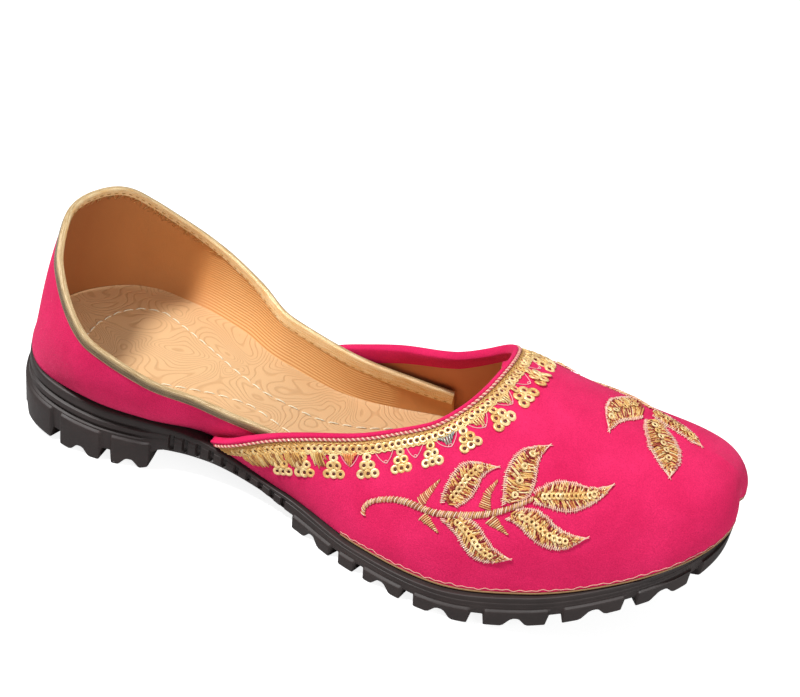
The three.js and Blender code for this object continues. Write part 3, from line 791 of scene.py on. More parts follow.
def binding_stitches():
    starts = np.arange(1.2, path_length(collar_line)[-1] - 3, DASH_PITCH)
    places = starts[:, None] + np.linspace(0, DASH_LENGTH, 4)
    line, out, up = (along_collar(places, values) for values in (collar_line, collar_out, collar_up))
    deep = along_collar(places, binding_inside[:, None])
    lift = np.array((0.12, -0.1, -0.1, 0.12))[:, None]
    paths = line + out * (inner_face - 0.1 + lift) - up * (deep - DASH_ABOVE_HEM)
    radius = DASH_RADIUS * np.array((0.6, 1, 1, 0.6))
    tint = np.full(2 * len(paths), 0.3)
    return threads("binding_stitches", both_sides(paths), both_sides(-out), radius, tint)


def loose_threads():
    count = FRAY_COUNT
    fray = np.random.default_rng(3)
    start = fray.uniform(0, FRAY_UP_TO, count)
    hang = fray.uniform(0.5, 2.6, count)
    share = np.linspace(0, 1, 6)
    drift = start[:, None] + share * fray.normal(0, 1.3, (count, 1))
    places = np.abs(drift + 0.25 * np.sin(share * 7 + start[:, None]))
    line, out, up = (along_collar(places, values) for values in (collar_line, collar_out, collar_up))
    deep = along_collar(places, binding_inside[:, None]) - 0.3 + hang[:, None, None] * share[:, None]
    bulge = 0.25 * np.sin(share * math.pi)[:, None] * fray.uniform(0.3, 1.4, (count, 1, 1))
    away = -QUARTER_WALL - 0.3 - bulge
    paths = line + out * away - up * deep
    flip = fray.choice((-1, 1), (count, 1, 1)) * np.array((0, 1, 0)) + np.array((1, 0, 1))
    tint = fray.uniform(0.3, 1, count)
    radius = FRAY_RADIUS * np.linspace(1, 0.6, 6)
    return threads("loose_threads", paths * flip, -out * flip, radius, tint, sides=3)


gold_thread = thread_material(
    "gold_thread", ((0.28, 0.08, 0.025), (0.74, 0.40, 0.10), (0.98, 0.74, 0.34)), 0.15, 0.34, 2600
)
sew_on(binding_stitches(), gold_thread)
sew_on(loose_threads(), gold_thread)

# Vamp: the front of the upper, one piece of pink velvet lasted over the forefoot, lined with rust cloth.
# Its throat is cut in a deep curve down to the two wings, and the toe has a shallow dimple at its front.
THROAT = np.array([
    # x, height
    (78, 17.5), (97, 27.2), (113, 33.3), (130, 38.7), (145, 46.2), (153, 52.8), (157, 57.2), (159, 60),
])
CREASES = (
    # along, turn in degrees, reach along, reach in turn, depth; a minus depth is a swelling
    (150, 9, 9, 7, 0.5), (172, 12, 12, 6, -0.35), (214, 9, 14, 6, 0.35), (246, 22, 12, 9, 0.4),
    (262, 40, 9, 12, -0.3), (228, 34, 10, 9, -0.3), (190, 36, 9, 8, 0.3), (276, 60, 10, 12, 0.3),
)
RUST_CLOTH = ((0.52, 0.165, 0.062, 1), (0.62, 0.225, 0.09, 1))
NO_RIBS = (900, 950)

throat_at = column(THROAT[:, 0], THROAT[:, 1])


def throat_edge(share):
    top = along_at(THROAT_PEAK - (THROAT_PEAK - WING_END) * (1 - share) ** 2)
    turn = np.where(share >= 1, math.pi / 2, turn_at(top, throat_at(edge_at(top)[0][..., 0])))
    return top, turn


def vamp_shell():
    wing = np.linspace(0, 1, 100)
    wing_top, wing_turn = throat_edge(wing)
    toe = np.linspace(PEAK_ALONG, FEATHER_LENGTH, 80)[1:]
    foot = np.concatenate([along_at(WING_END + (THROAT_PEAK - WING_END) * wing), toe])
    top = np.concatenate([wing_top, toe])
    turn = np.concatenate([wing_turn, np.full(len(toe), math.pi / 2)])
    share = np.linspace(0, 1, 60)[:, None]
    along, turn = foot + (top - foot) * share, turn * share
    depth = np.zeros(turn.shape)
    for place, angle, reach, spread, deep in CREASES:
        far = ((along - place) / reach) ** 2 + ((np.degrees(turn) - angle) / spread) ** 2
        depth += deep * np.exp(-far)
    points = wall_at(along, turn, depth)
    piece = lofted("vamp_velvet", points)
    lay_uv(piece, along, np.degrees(turn))
    with_other_side(piece)
    bpy.ops.object.shade_smooth()
    return piece


vamp = vamp_shell()
vamp_skin = BVHTree.FromPolygons([v.co for v in vamp.data.vertices], [p.vertices for p in vamp.data.polygons])
vamp.data.materials.append(velvet("vamp_velvet"))
vamp.data.materials.append(ribbed_lining("vamp_lining", *NO_RIBS, *RUST_CLOTH))
thicken(vamp, WALL, 0)
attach(vamp, "root")
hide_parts("upper_vamp")


def on_vamp(points, lift=0):
    flat = in_frame(points.reshape(-1, 3))
    found = [vamp_skin.find_nearest(Vector(p.tolist())) for p in flat]
    place = np.array([tuple(hit[0]) for hit in found]) * 1000 + (MIDDLE, 0, 0)
    normal = np.array([tuple(hit[1]) for hit in found])
    shape = points.shape
    return (place + normal * lift).reshape(shape), normal.reshape(shape)

# Welt line: the thin tan edge of the lasting board that shows between upper and sole, with a pale zigzag
# thread sewn over it through the foot of the vamp, from the waist round the toe.
WELT_FROM = 128
BOARD_HEIGHT, BOARD_RADIUS = 0.35, 0.32
ZIGZAG_PITCH, ZIGZAG_LOW, ZIGZAG_HEIGHT, ZIGZAG_RADIUS = 3.3, 1.1, 0.5, 0.15


def foot_path(step, height_at, lift):
    along = np.arange(along_at(WELT_FROM), FEATHER_LENGTH, step)
    edge = edge_at(along)[0][:, 0]
    turn = turn_at(along, feather_at(edge) + SEAT + height_at(along))
    near = wall_at(along, turn, np.full(len(along), -lift))
    return np.concatenate([near, near[::-1] * (1, -1, 1)])


def level_out(points):
    return unit(np.stack([points[:, 0] - 150, points[:, 1] * 2.2, np.full(len(points), 12.0)], -1))


def zigzag(along):
    wave = np.abs((along / ZIGZAG_PITCH) % 1 * 2 - 1)
    return ZIGZAG_LOW + ZIGZAG_HEIGHT * wave + 0.25 * np.sin(along * 0.83) * np.sin(along * 0.37)


board = foot_path(1.0, lambda along: BOARD_HEIGHT + 0 * along, 0.1)
board = board[None], level_out(board)[None]
board_edge = threads("board_edge", *board, BOARD_RADIUS, np.zeros(1), sides=6, flat=0.8)
board_tan = thread_material("board_tan", ((0.34, 0.19, 0.08), (0.62, 0.38, 0.16)), 0, 0.7, 1800)
sew_on(board_edge, board_tan)
sewing = foot_path(ZIGZAG_PITCH / 6, zigzag, 0.12)
sewing = sewing[None], level_out(sewing)[None]
welt_thread = threads("welt_thread", *sewing, ZIGZAG_RADIUS, np.zeros(1), sides=4)
welt_pink = thread_material("welt_thread", ((0.80, 0.40, 0.34), (0.88, 0.62, 0.50)), 0, 0.6, 2400)
sew_on(welt_thread, welt_pink)

# Throat roll: a bias strip of the same pink velvet rolled over the cut edge of the throat and turned down
# inside, where it shows as a smooth band above the lining. It is sewn through along its lower edge.
ROLL_OUT, ROLL_TOP, ROLL_DEPTH, ROLL_SHARE, ROLL_INSIDE = 0.8, 0.65, 0.8, 0.6, 5.4


def throat_line(count):
    fine = np.linspace(0, 1, 3000)
    top, turn = throat_edge(fine)
    length = path_length(wall_at(top, turn, np.zeros(len(fine))))
    share = np.interp(np.linspace(0, length[-1], count), length, fine)
    share[-1] = 1
    top, turn = throat_edge(share)
    points = wall_at(top, turn, np.zeros(count))
    out, up = edge_frames(points, top, turn)
    foot = wall_at(along_at(WING_END + (THROAT_PEAK - WING_END) * share), np.zeros(count), np.zeros(count))
    return points, out, up, np.linalg.norm(points - foot, axis=1)


throat, throat_out, throat_up, throat_room = throat_line(260)
throat_arc = path_length(throat)
roll_deep = np.minimum(ROLL_DEPTH, throat_room * ROLL_SHARE)
roll_inside = np.minimum(ROLL_INSIDE, throat_room * 0.7)


def roll_section():
    shape = [(0.4, -1, 0), (ROLL_OUT - 0.15, -0.85, 0), (ROLL_OUT, -0.5, 0)]
    shape += [(a, 0, b) for a, b in arc((-0.75, 0), (ROLL_OUT + 0.75, ROLL_TOP), 0, 180, 10)]
    shape += [(-WALL - 0.55, 0, -0.6), (-WALL - 0.6, 0, -2.2), (-WALL - 0.55, 0, -3), (-WALL - 0.3, 0, -3)]
    shape += [(-WALL - 0.15, 0, SEAT), (SEAT, 0, SEAT), (SEAT, -1, 0)]
    shape += shape[:1]
    grow = 0.3 + 0.7 * smooth(throat_arc, 0, 16)
    rows = [np.stack([out * grow, deep * roll_deep + level * grow], -1) for out, deep, level in shape]
    rows = np.stack(rows)
    for i, (_, _, level) in enumerate(shape):
        if level <= -0.6:
            rows[i, :, 1] = level / 3 * roll_inside
    return rows


roll = swept("throat_roll", throat, throat_out, throat_up, roll_section())
roll.data.materials.append(velvet("pink_binding"))
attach(roll, "root")
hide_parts("throat_binding")

# Throat cord: a dark rose and a pale pink strand of silk, twisted into a cord that is laid on the vamp
# just under the roll and sewn down along its whole length.
CORD_BELOW, CORD_PITCH, CORD_NEEDS, CORD_LIFT = 1.25, 1.5, 4.5, 0.45
STRAND_RADIUS, STRAND_REACH = 0.3, 0.26


def below_throat(distance, needs, step):
    keep = throat_room > needs
    near = throat[keep] - throat_up[keep] * distance
    near, normal = on_vamp(near)
    line = np.concatenate([near, near[-2::-1] * (1, -1, 1)])
    normal = np.concatenate([normal, normal[-2::-1] * (1, -1, 1)])
    length = path_length(line)
    places = np.arange(0, length[-1], step)
    return interpolated(places, length, line), unit(interpolated(places, length, normal))


def twisted_strand(phase):
    line, normal = below_throat(CORD_BELOW, CORD_NEEDS, 0.24)
    side = np.cross(normal, unit(np.gradient(line, axis=0)))
    angle = 2 * math.pi * path_length(line) / CORD_PITCH + phase
    away = np.cos(angle)[:, None] * side + np.sin(angle)[:, None] * normal
    return line + normal * CORD_LIFT + away * STRAND_REACH, normal


strands = [np.stack(pair) for pair in zip(*[twisted_strand(phase) for phase in (0, math.pi)])]
cord = threads("throat_cord_strands", *strands, STRAND_RADIUS, np.array((0, 1)), flat=1)
cord.data.materials.append(
    thread_material("cord_strands", ((0.62, 0.10, 0.12), (0.97, 0.62, 0.48)), 0.05, 0.45, 3000)
)
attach(cord, "root")
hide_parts("throat_cord")

# Sequin border: a row of gold rings sewn down side by side under the cord, between waving gold threads. In
# the narrow ends of the wings the rings give way to chains of twisted gold wire with a slanting fringe.
RING_ROW, RING_ROW_NEEDS, RING_PITCH, RING_SIZE, KNOT_SIZE = 4.1, 9.5, 2.05, 1.42, 0.62
RING_MIDDLE, RING_WIRE, RING_FLATNESS = 0.66, 0.34, 0.48
BORDER_THREADS = (
    # distance below the throat edge, room that it needs, swing
    (1.95, 6, 0.2), (2.2, 6, -0.2), (2.6, 6.5, 0.25), (5.35, 10, 0.22), (5.6, 10, -0.22),
)
BORDER_RADIUS, BORDER_WAVE = 0.24, 1.9
WING_CHAINS = (
    # distance below the throat edge, start of the twist
    (2.2, 0), (2.9, 2), (3.6, 4), (4.4, 1), (5.2, 3),
)
WING_CHAIN_END, CHAIN_PITCH, CHAIN_REACH, CHAIN_RADIUS = 34, 1.5, 0.3, 0.24
WING_TUFTS = (71, 78.5, 80.5, 86.5, 89, 91.5, 94, 96.5)
TUFT_THREADS, TUFT_TOP, TUFT_RADIUS = 8, 4.8, 0.27


def ring_mesh():
    bpy.ops.mesh.primitive_torus_add(
        major_segments=14, minor_segments=6, major_radius=RING_MIDDLE, minor_radius=RING_WIRE, align="WORLD"
    )
    piece = bpy.context.object
    bpy.ops.object.mode_set(mode="EDIT")
    bpy.ops.mesh.select_all(action="SELECT")
    bpy.ops.transform.resize(value=(1, 1, RING_FLATNESS))
    bpy.ops.object.mode_set(mode="OBJECT")
    points = np.array([tuple(v.co) for v in piece.data.vertices])
    faces = np.array([tuple(p.vertices) for p in piece.data.polygons])
    bpy.data.objects.remove(piece)
    return points, faces


RING_POINTS, RING_FACES = ring_mesh()
chance = np.random.default_rng(7)


def set_rings(name, places, normals, runs, size):
    run = unit(runs - normals * np.sum(runs * normals, axis=1, keepdims=True))
    tip = unit(normals + 0.22 * run + 0.1 * chance.normal(size=normals.shape))
    run = unit(run - tip * np.sum(run * tip, axis=1, keepdims=True))
    side = np.cross(tip, run)
    size = np.broadcast_to(size, len(places))[:, None, None] * chance.normal(1, 0.03, (len(places), 1, 1))
    local = RING_POINTS[None] * size
    points = places[:, None] + local[..., :1] * run[:, None] + local[..., 1:2] * side[:, None]
    points = points + (local[..., 2:] + 0.2) * tip[:, None]
    faces = (RING_FACES[None] + np.arange(len(places))[:, None, None] * len(RING_POINTS)).reshape(-1, 4)
    tint = np.repeat(chance.uniform(0, 1, len(places)), len(RING_POINTS))
    return new_mesh(name, points.reshape(-1, 3), faces.tolist(), tint)


def knots(name, places, normals, size):
    angle = 2 * math.pi * np.arange(6) / 6
    side = unit(np.cross(normals, (0.3, 1, 0.2)))
    other = np.cross(normals, side)
    rim = np.cos(angle)[:, None] * side[:, None] + np.sin(angle)[:, None] * other[:, None]
    foot = places[:, None] + rim * size - normals[:, None] * 0.05
    points = np.concatenate([foot, (places + normals * 0.22)[:, None]], 1)
    start = np.arange(len(places))[:, None] * 7
    ring = np.arange(6)
    faces = [start + np.array((k, (k + 1) % 6, 6)) for k in ring]
    faces = np.concatenate(faces).tolist() + (start + ring[::-1]).tolist()
    tint = np.repeat(chance.uniform(0, 1, len(places)), 7)
    return new_mesh(name, points.reshape(-1, 3), faces, tint)


def gold_rings():
    material, tree, shader = new_material("ring_gold")
    tint = add_node(tree, "ShaderNodeAttribute", attribute_name="tint").outputs["Fac"]
    grain = add_grain(tree, 300, 2500)
    colour = mixed(tree, tint, (0.88, 0.54, 0.18, 1), (0.99, 0.80, 0.43, 1))
    # Darker brown patches: partly the gold's uneven tone, partly painted shade for the shadows between the
    # rings.
    colour = mixed(tree, ranged(tree, grain["Patch"], 0.47, 0.72, 0, 0.75), colour, (0.46, 0.20, 0.055, 1))
    set_inputs(tree, shader, {
        "Base Color": colour,
        "Metallic": 0.3,
        "Roughness": ranged(tree, grain["Patch"], 0.3, 0.7, 0.22, 0.42),
        "Normal": bumped(tree, grain["Grain"], 0.25, 0.0002),
    })
    return material


RING_GOLD = gold_rings()
row_line, row_normal = below_throat(RING_ROW, RING_ROW_NEEDS, RING_PITCH)
border_rings = set_rings("border_rings", row_line, row_normal, np.gradient(row_line, axis=0), RING_SIZE)
border_knots = knots("border_knots", row_line, row_normal, KNOT_SIZE)
# The knots are near-black: partly dark thread, partly painted shade filling the holes of the rings.
KNOT_THREAD_AND_HOLE_SHADE = thread_material("knot_thread_hole_shade", ((0.09, 0.022, 0.018), (0.20, 0.05, 0.03)), 0, 0.6, 2000)
sew_on(border_rings, RING_GOLD)
sew_on(border_knots, KNOT_THREAD_AND_HOLE_SHADE)


def border_thread(distance, needs, wave):
    line, normal = below_throat(distance, needs, 0.45)
    side = np.cross(normal, unit(np.gradient(line, axis=0)))
    swing = wave * np.sin(path_length(line) * 2 * math.pi / BORDER_WAVE)[:, None]
    return line + side * swing + normal * 0.22, normal


for i, row in enumerate(BORDER_THREADS):
    line, normal = border_thread(*row)
    tint = np.array((0.2 + 0.2 * i,))
    border_piece = threads("border_thread_%d" % i, line[None], normal[None], BORDER_RADIUS, tint)
    sew_on(border_piece, gold_thread)


def frame_at(arc_place):
    point, out, up = (interpolated(arc_place, throat_arc, v) for v in (throat, throat_out, throat_up))
    return point, unit(out), unit(up)


def below_edge(place, distance):
    point, _, up = frame_at(place)
    return point - up * np.broadcast_to(distance, np.shape(place))[..., None]


def wing_chain(distance, phase):
    place = np.arange(2, WING_CHAIN_END, 0.24)
    place = place[np.interp(place, throat_arc, throat_room) > distance + 0.9]
    line, normal = on_vamp(below_edge(place, distance), 0.25)
    side = np.cross(normal, unit(np.gradient(line, axis=0)))
    angle = (place * 2 * math.pi / CHAIN_PITCH + phase)[:, None]
    return line + CHAIN_REACH * (np.cos(angle) * side + np.sin(angle) * normal), normal


def wing_fringe():
    middle = throat_arc[-1] - np.repeat(WING_TUFTS, TUFT_THREADS)
    spread = np.tile(np.linspace(-2.6, 2.6, TUFT_THREADS), len(WING_TUFTS))
    top = middle + spread * 0.7
    room = np.interp(top, throat_arc, throat_room)
    low = np.minimum(room - 0.8, 10.5 - np.abs(spread) * 0.9 + chance.uniform(-0.8, 0.8, len(top)))
    keep = low > 6
    share = np.linspace(0, 1, 6)
    place = top[keep, None] + (1.2 + spread[keep, None] * 0.25) * share
    deep = TUFT_TOP + (low[keep, None] - TUFT_TOP) * share
    paths, normals = on_vamp(below_edge(place, deep), 0.15)
    paths = paths + normals * (0.4 * np.sin(share * math.pi))[:, None]
    tint = chance.choice((0.1, 0.4, 0.55, 0.85), len(paths))
    radius = TUFT_RADIUS * np.array((0.7, 1, 1, 1, 1, 0.7))
    return threads("wing_fringe", both_sides(paths), both_sides(normals), radius, np.tile(tint, 2))


sew_on(wing_fringe(), gold_thread)
for i, (distance, phase) in enumerate(WING_CHAINS):
    line, normal = wing_chain(distance, phase)
    chain = both_sides(line[None]), both_sides(normal[None])
    tint = np.array((0.3 + 0.1 * i,) * 2)
    sew_on(threads("wing_chain_%d" % i, *chain, CHAIN_RADIUS, tint), gold_thread)

# Hanging pyramids: six gold rings in rows of one, two and three hang point up under the border, a little
# larger near the throat's middle. Each ring is sewn down through its middle. Between them hang pale looped
# threads, and small triangles of gold, copper and silver beads.
PYRAMIDS = (0, 9.2, 18.3, 27, 35.2, 44.9, 55.3, 65.2, 75.9, 84.5)
PYRAMID_ROWS = ((6.7, (0,)), (9.1, (-1.1, 1.1)), (11.6, (-2.2, 0, 2.2)))
PYRAMID_RING, PYRAMID_GROWTH, PYRAMID_KNOT = 1.5, 0.4, 0.66
VALLEYS = (4.6, 13.7, 22.6, 31.1, 40, 50.1, 60.3, 70.5)
LOOP = np.array([
    # step along the throat, distance below it
    (-3, 5.7), (-2.2, 7.2), (-1, 8.6), (0.3, 9.4), (0.9, 8.8), (0.2, 8.1), (-0.6, 8.7), (0.2, 9.5),
    (1.1, 8.6), (2.2, 7.2), (3, 5.7),
])
BEADS = (
    # distance from the throat's middle, colour from copper over gold to silver, length
    (13.7, 0.5, 4.2), (22.6, 0.45, 3.6), (31.1, 1, 3.4), (60.3, 0.12, 4.4),
)
LOOP_RADIUS, BEAD_RADIUS, BEADS_TOP = 0.15, 0.36, 5.3


def pyramid_places():
    places, runs, sizes = [], [], []
    for from_peak in PYRAMIDS:
        arc_place = throat_arc[-1] - from_peak
        point, out, up = frame_at(arc_place)
        room = np.interp(arc_place, throat_arc, throat_room)
        run = np.cross(up, out)
        size = PYRAMID_RING + PYRAMID_GROWTH * (1 - smooth(from_peak, 12, 30))
        for distance, steps in PYRAMID_ROWS:
            if distance < room - 1:
                places += [point + run * step * size / PYRAMID_RING - up * distance for step in steps]
                runs += [run] * len(steps)
                sizes += [size] * len(steps)
    places, runs, sizes = np.array(places), np.array(runs), np.array(sizes)
    aside = places[:, 1] < -4
    both = [np.concatenate([v, v[aside] * (1, -1, 1)]) for v in (places, runs)]
    return on_vamp(both[0]), both[1], np.concatenate([sizes, sizes[aside]])


(hung, hung_normal), hung_run, hung_size = pyramid_places()
pyramids = set_rings("pyramid_rings", hung, hung_normal, hung_run, hung_size)
pyramid_knots = knots("pyramid_knots", hung, hung_normal, PYRAMID_KNOT)
sew_on(pyramids, RING_GOLD)
sew_on(pyramid_knots, KNOT_THREAD_AND_HOLE_SHADE)


def valley_loops():
    line = softened(resampled(LOOP, 44), 4)
    middle = throat_arc[-1] - np.array(VALLEYS)[:, None]
    place = np.clip(middle + line[:, 0] * 0.9, 0, throat_arc[-1])
    paths, normals = on_vamp(below_edge(place, np.broadcast_to(line[:, 1], place.shape)), 0.16)
    tint = np.zeros(2 * len(paths))
    return threads("valley_loops", both_sides(paths), both_sides(normals), LOOP_RADIUS, tint, sides=4)


def bead_triangles():
    step = np.linspace(-2.2, 2.2, 7)
    share = np.linspace(0, 1, 6)
    place, deep, tint = [], [], []
    for from_peak, colour, length in BEADS:
        reach = length * (1 - np.abs(step) / 3) + chance.uniform(-0.4, 0.4, len(step))
        place.append(throat_arc[-1] - from_peak + step[:, None] * (1 - 0.35 * share))
        deep.append(BEADS_TOP + reach[:, None] * share)
        tint.append(np.clip(colour + chance.uniform(-0.12, 0.12, len(step)), 0, 1))
    paths, normals = on_vamp(below_edge(np.concatenate(place), np.concatenate(deep)), 0.15)
    paths = paths + normals * (0.35 * np.sin(share * math.pi))[:, None]
    radius = BEAD_RADIUS * np.array((0.7, 1, 0.85, 1, 0.85, 0.6))
    tint = np.tile(np.concatenate(tint), 2)
    return threads("bead_triangles", both_sides(paths), both_sides(normals), radius, tint)


loop_thread = thread_material("loop_thread", ((0.95, 0.45, 0.48), (0.95, 0.6, 0.6)), 0.1, 0.5, 2600)
bead_glass = thread_material(
    "bead_glass", ((0.78, 0.24, 0.07), (0.88, 0.60, 0.25), (0.30, 0.34, 0.33)), 0.2, 0.3, 2600
)
sew_on(valley_loops(), loop_thread)
sew_on(bead_triangles(), bead_glass)

# Leaf branches: an embroidered branch on each side of the vamp. Its stem and thorns are wrapped in gold
# thread, the stem under pale stitches. The leaves are laid in slanting gold and copper in a pale outline.
# Places are pairs of along and turn in degrees: turn runs from the near feather line over to the far one.
NEAR_STEM = (
    (159.2, 18.3), (158.3, 19.7), (159.8, 22.7), (163.2, 24.9), (167.7, 26.4), (172.4, 26.6), (176.7, 25.9),
    (181.4, 25.6), (186.3, 26.6), (192.2, 28.3), (197.3, 30.1), (202, 32.5), (205.5, 35), (209.6, 38.1),
)
NEAR_LEAVES = (
    # one edge from base to tip, the other edge, rings on the vein
    (((182.4, 29.1), (182, 32), (182.4, 36), (183, 39.3), (184.4, 42.8), (187.3, 44.8), (191, 45.5),
      (196.1, 45.8)),
     ((186.9, 29.5), (189.5, 32), (191, 34.7), (191.8, 37.9), (192, 41.1), (193.4, 43.5), (196.1, 45.8)),
     9),
    (((188.3, 27.4), (191.8, 27.2), (195.3, 25.6), (198.1, 22.5), (200.6, 19.3), (202.8, 17.6),
      (206.5, 15.6)),
     ((183.6, 24.6), (186.9, 22.9), (190, 20.7), (192.4, 17.8), (195.1, 15.1), (198.9, 13.5), (203, 13.8),
      (206.5, 15.6)), 10),
    (((200.8, 33.7), (200.2, 37.9), (199.3, 42.2), (199.3, 46.1), (200.4, 50.6), (202.8, 54.3), (206.7, 56.5),
      (211.6, 58.4)),
     ((204.6, 36), (208.1, 38.3), (209.1, 42.5), (209.1, 46.4), (208.7, 50.4), (209.3, 54.3), (211.6, 58.4)),
     4),
    (((209.3, 40.1), (211.4, 42.2), (214.6, 45.2), (218.3, 46.4), (222.4, 46.4), (226.1, 45.2), (229.9, 45.5),
      (234.4, 47.7)),
     ((209.9, 36.7), (213, 36.4), (216.3, 35.7), (220.3, 35), (224.2, 36.2), (227.9, 38.9), (231, 42),
      (234.4, 47.7)), 12),
    (((205, 33.2), (208.1, 34.4), (211.8, 34.4), (215.2, 32), (218.1, 29.1), (221, 27.2), (224, 25.9),
      (227.3, 25.2)),
     ((202.6, 29.8), (206.1, 28.8), (209.3, 26.2), (212.4, 23.2), (215.9, 21.3), (219.7, 20.3), (223.2, 21.5),
      (227.3, 25.2)), 10),
)
NEAR_THORNS = (
    ((176.1, 27.6), (177.5, 30.5), (179.8, 35.7)), ((178.3, 23.6), (181.2, 21.7), (184.2, 19.7)),
    ((195.7, 31.8), (195.3, 36.7), (197.3, 41.5)), ((198.3, 28.5), (201.2, 26.6), (204.6, 24.2)),
)
FAR_STEM = (
    (159.2, 163), (159.8, 159), (167.7, 154), (176.7, 150), (186.3, 145.5), (197.3, 139), (208, 132),
    (220, 125), (232, 118.5), (243, 111),
)
FAR_LEAVES = (
    (((250.7, 95), (251.2, 90.5), (245.6, 86.8), (240.1, 81.2), (235.2, 74.5)),
     ((236, 118), (231.6, 115.2), (231.8, 105.2), (232, 98.5), (236.5, 90.2), (235.2, 82.5), (235.2, 74.5)),
     4),
    (((253, 99.8), (261.6, 94.5), (269.3, 87.2), (264.4, 75.5), (260.5, 66), (256.3, 59), (253.6, 54.8)),
     ((252.6, 94), (253.8, 84.2), (250.9, 73), (251.6, 65.8), (252.4, 60.5), (253.6, 54.8)), 6),
    (((243, 112.5), (249.3, 109.8), (256, 107), (263.2, 105), (269.5, 102.8), (281.7, 94.5)),
     ((249.9, 101), (257.7, 97), (264.6, 95.8), (272, 95), (279.1, 93), (281.7, 94.5)), 5),
)
FAR_SHIFT = (8, 13)
STEM_PITCH, THORN_WIDTH, LEAF_RING = 0.62, 1.5, 1.15
FILL_RADIUS, SPECK_RADIUS, FRINGE_RADIUS, OUTLINE_RADIUS = 0.25, 0.19, 0.17, 0.15
STEM_RADIUS, STEM_STITCH_RADIUS, THORN_RADIUS = 0.27, 0.17, 0.22


def chart(places):
    places = np.asarray(places, float)
    turn = np.radians(places[..., 1])
    over = turn > math.pi / 2
    points = wall_point(places[..., 0], np.where(over, math.pi - turn, turn))
    points[..., 1] = np.where(over, -points[..., 1], points[..., 1])
    return points


def carried_over(places):
    places = np.asarray(places, float) + FAR_SHIFT
    return np.stack([places[..., 0], 180 - places[..., 1]], -1)


def rounded_line(places, count=120):
    return on_vamp(softened(resampled(chart(places), count), count // 4))[0]


def laid(paths, arch, lift=0.12):
    paths, normals = on_vamp(paths, lift)
    rise = np.sin(np.linspace(0, math.pi, paths.shape[1]))[:, None] * np.reshape(arch, (-1, 1, 1))
    return paths + normals * rise, normals


def between(first, last, steps):
    return first[:, None] + (last - first)[:, None] * np.linspace(0, 1, steps)[:, None]


def leaf_threads(first_edge, second_edge):
    edges = [rounded_line(first_edge), rounded_line(second_edge)]
    vein = (edges[0] + edges[1]) / 2
    length = path_length(vein)[-1]
    fill, rim = [], []
    for edge in edges:
        total = path_length(edge)[-1]
        place = np.arange(0.2, length * 0.93, 0.5)
        place = place + chance.uniform(-0.15, 0.15, len(place))
        reach = np.minimum(place + chance.uniform(0.7, 2.3, len(place)), length * 0.99)
        fill.append(between(walked(vein, place), walked(edge, reach / length * total), 6))
        place = np.arange(0.3, total, 0.62)
        here = walked(edge, place)
        inward = unit(walked(vein, np.minimum(place / total * length + 0.8, length)) - here + 1e-6)
        reach = chance.uniform(0.25, 0.8, (len(place), 1))
        rim.append(between(here - inward * reach, here + inward * 1.2, 4))
    share = chance.uniform(0.06, 0.9, int(length * 6))
    aside = chance.uniform(-0.85, 0.85, (len(share), 1))
    first, second, middle = (walked(line, share * path_length(line)[-1]) for line in (*edges, vein))
    here = middle + np.where(aside > 0, first - middle, middle - second) * aside
    stray = chance.normal(0, 0.7, (len(share), 1)) * (first - walked(vein, share * length * 0.8))
    slant = unit(first - second + stray)
    specks = between(here - slant * 0.6, here + slant * 0.6, 4)
    outline = np.concatenate([edges[0], edges[1][::-1]])
    return np.concatenate(fill), np.concatenate(rim), specks, vein, outline


def wrapped(line, half_width, slant, pitch):
    line, normal = on_vamp(walked(line, np.arange(0, path_length(line)[-1], pitch)))
    run = unit(np.gradient(line, axis=0))
    across = np.cross(normal, run)
    width = np.broadcast_to(half_width, len(line))[:, None] * chance.uniform(0.85, 1.15, (len(line), 1))
    return between(line - across * width - run * slant, line + across * width + run * slant, 6)


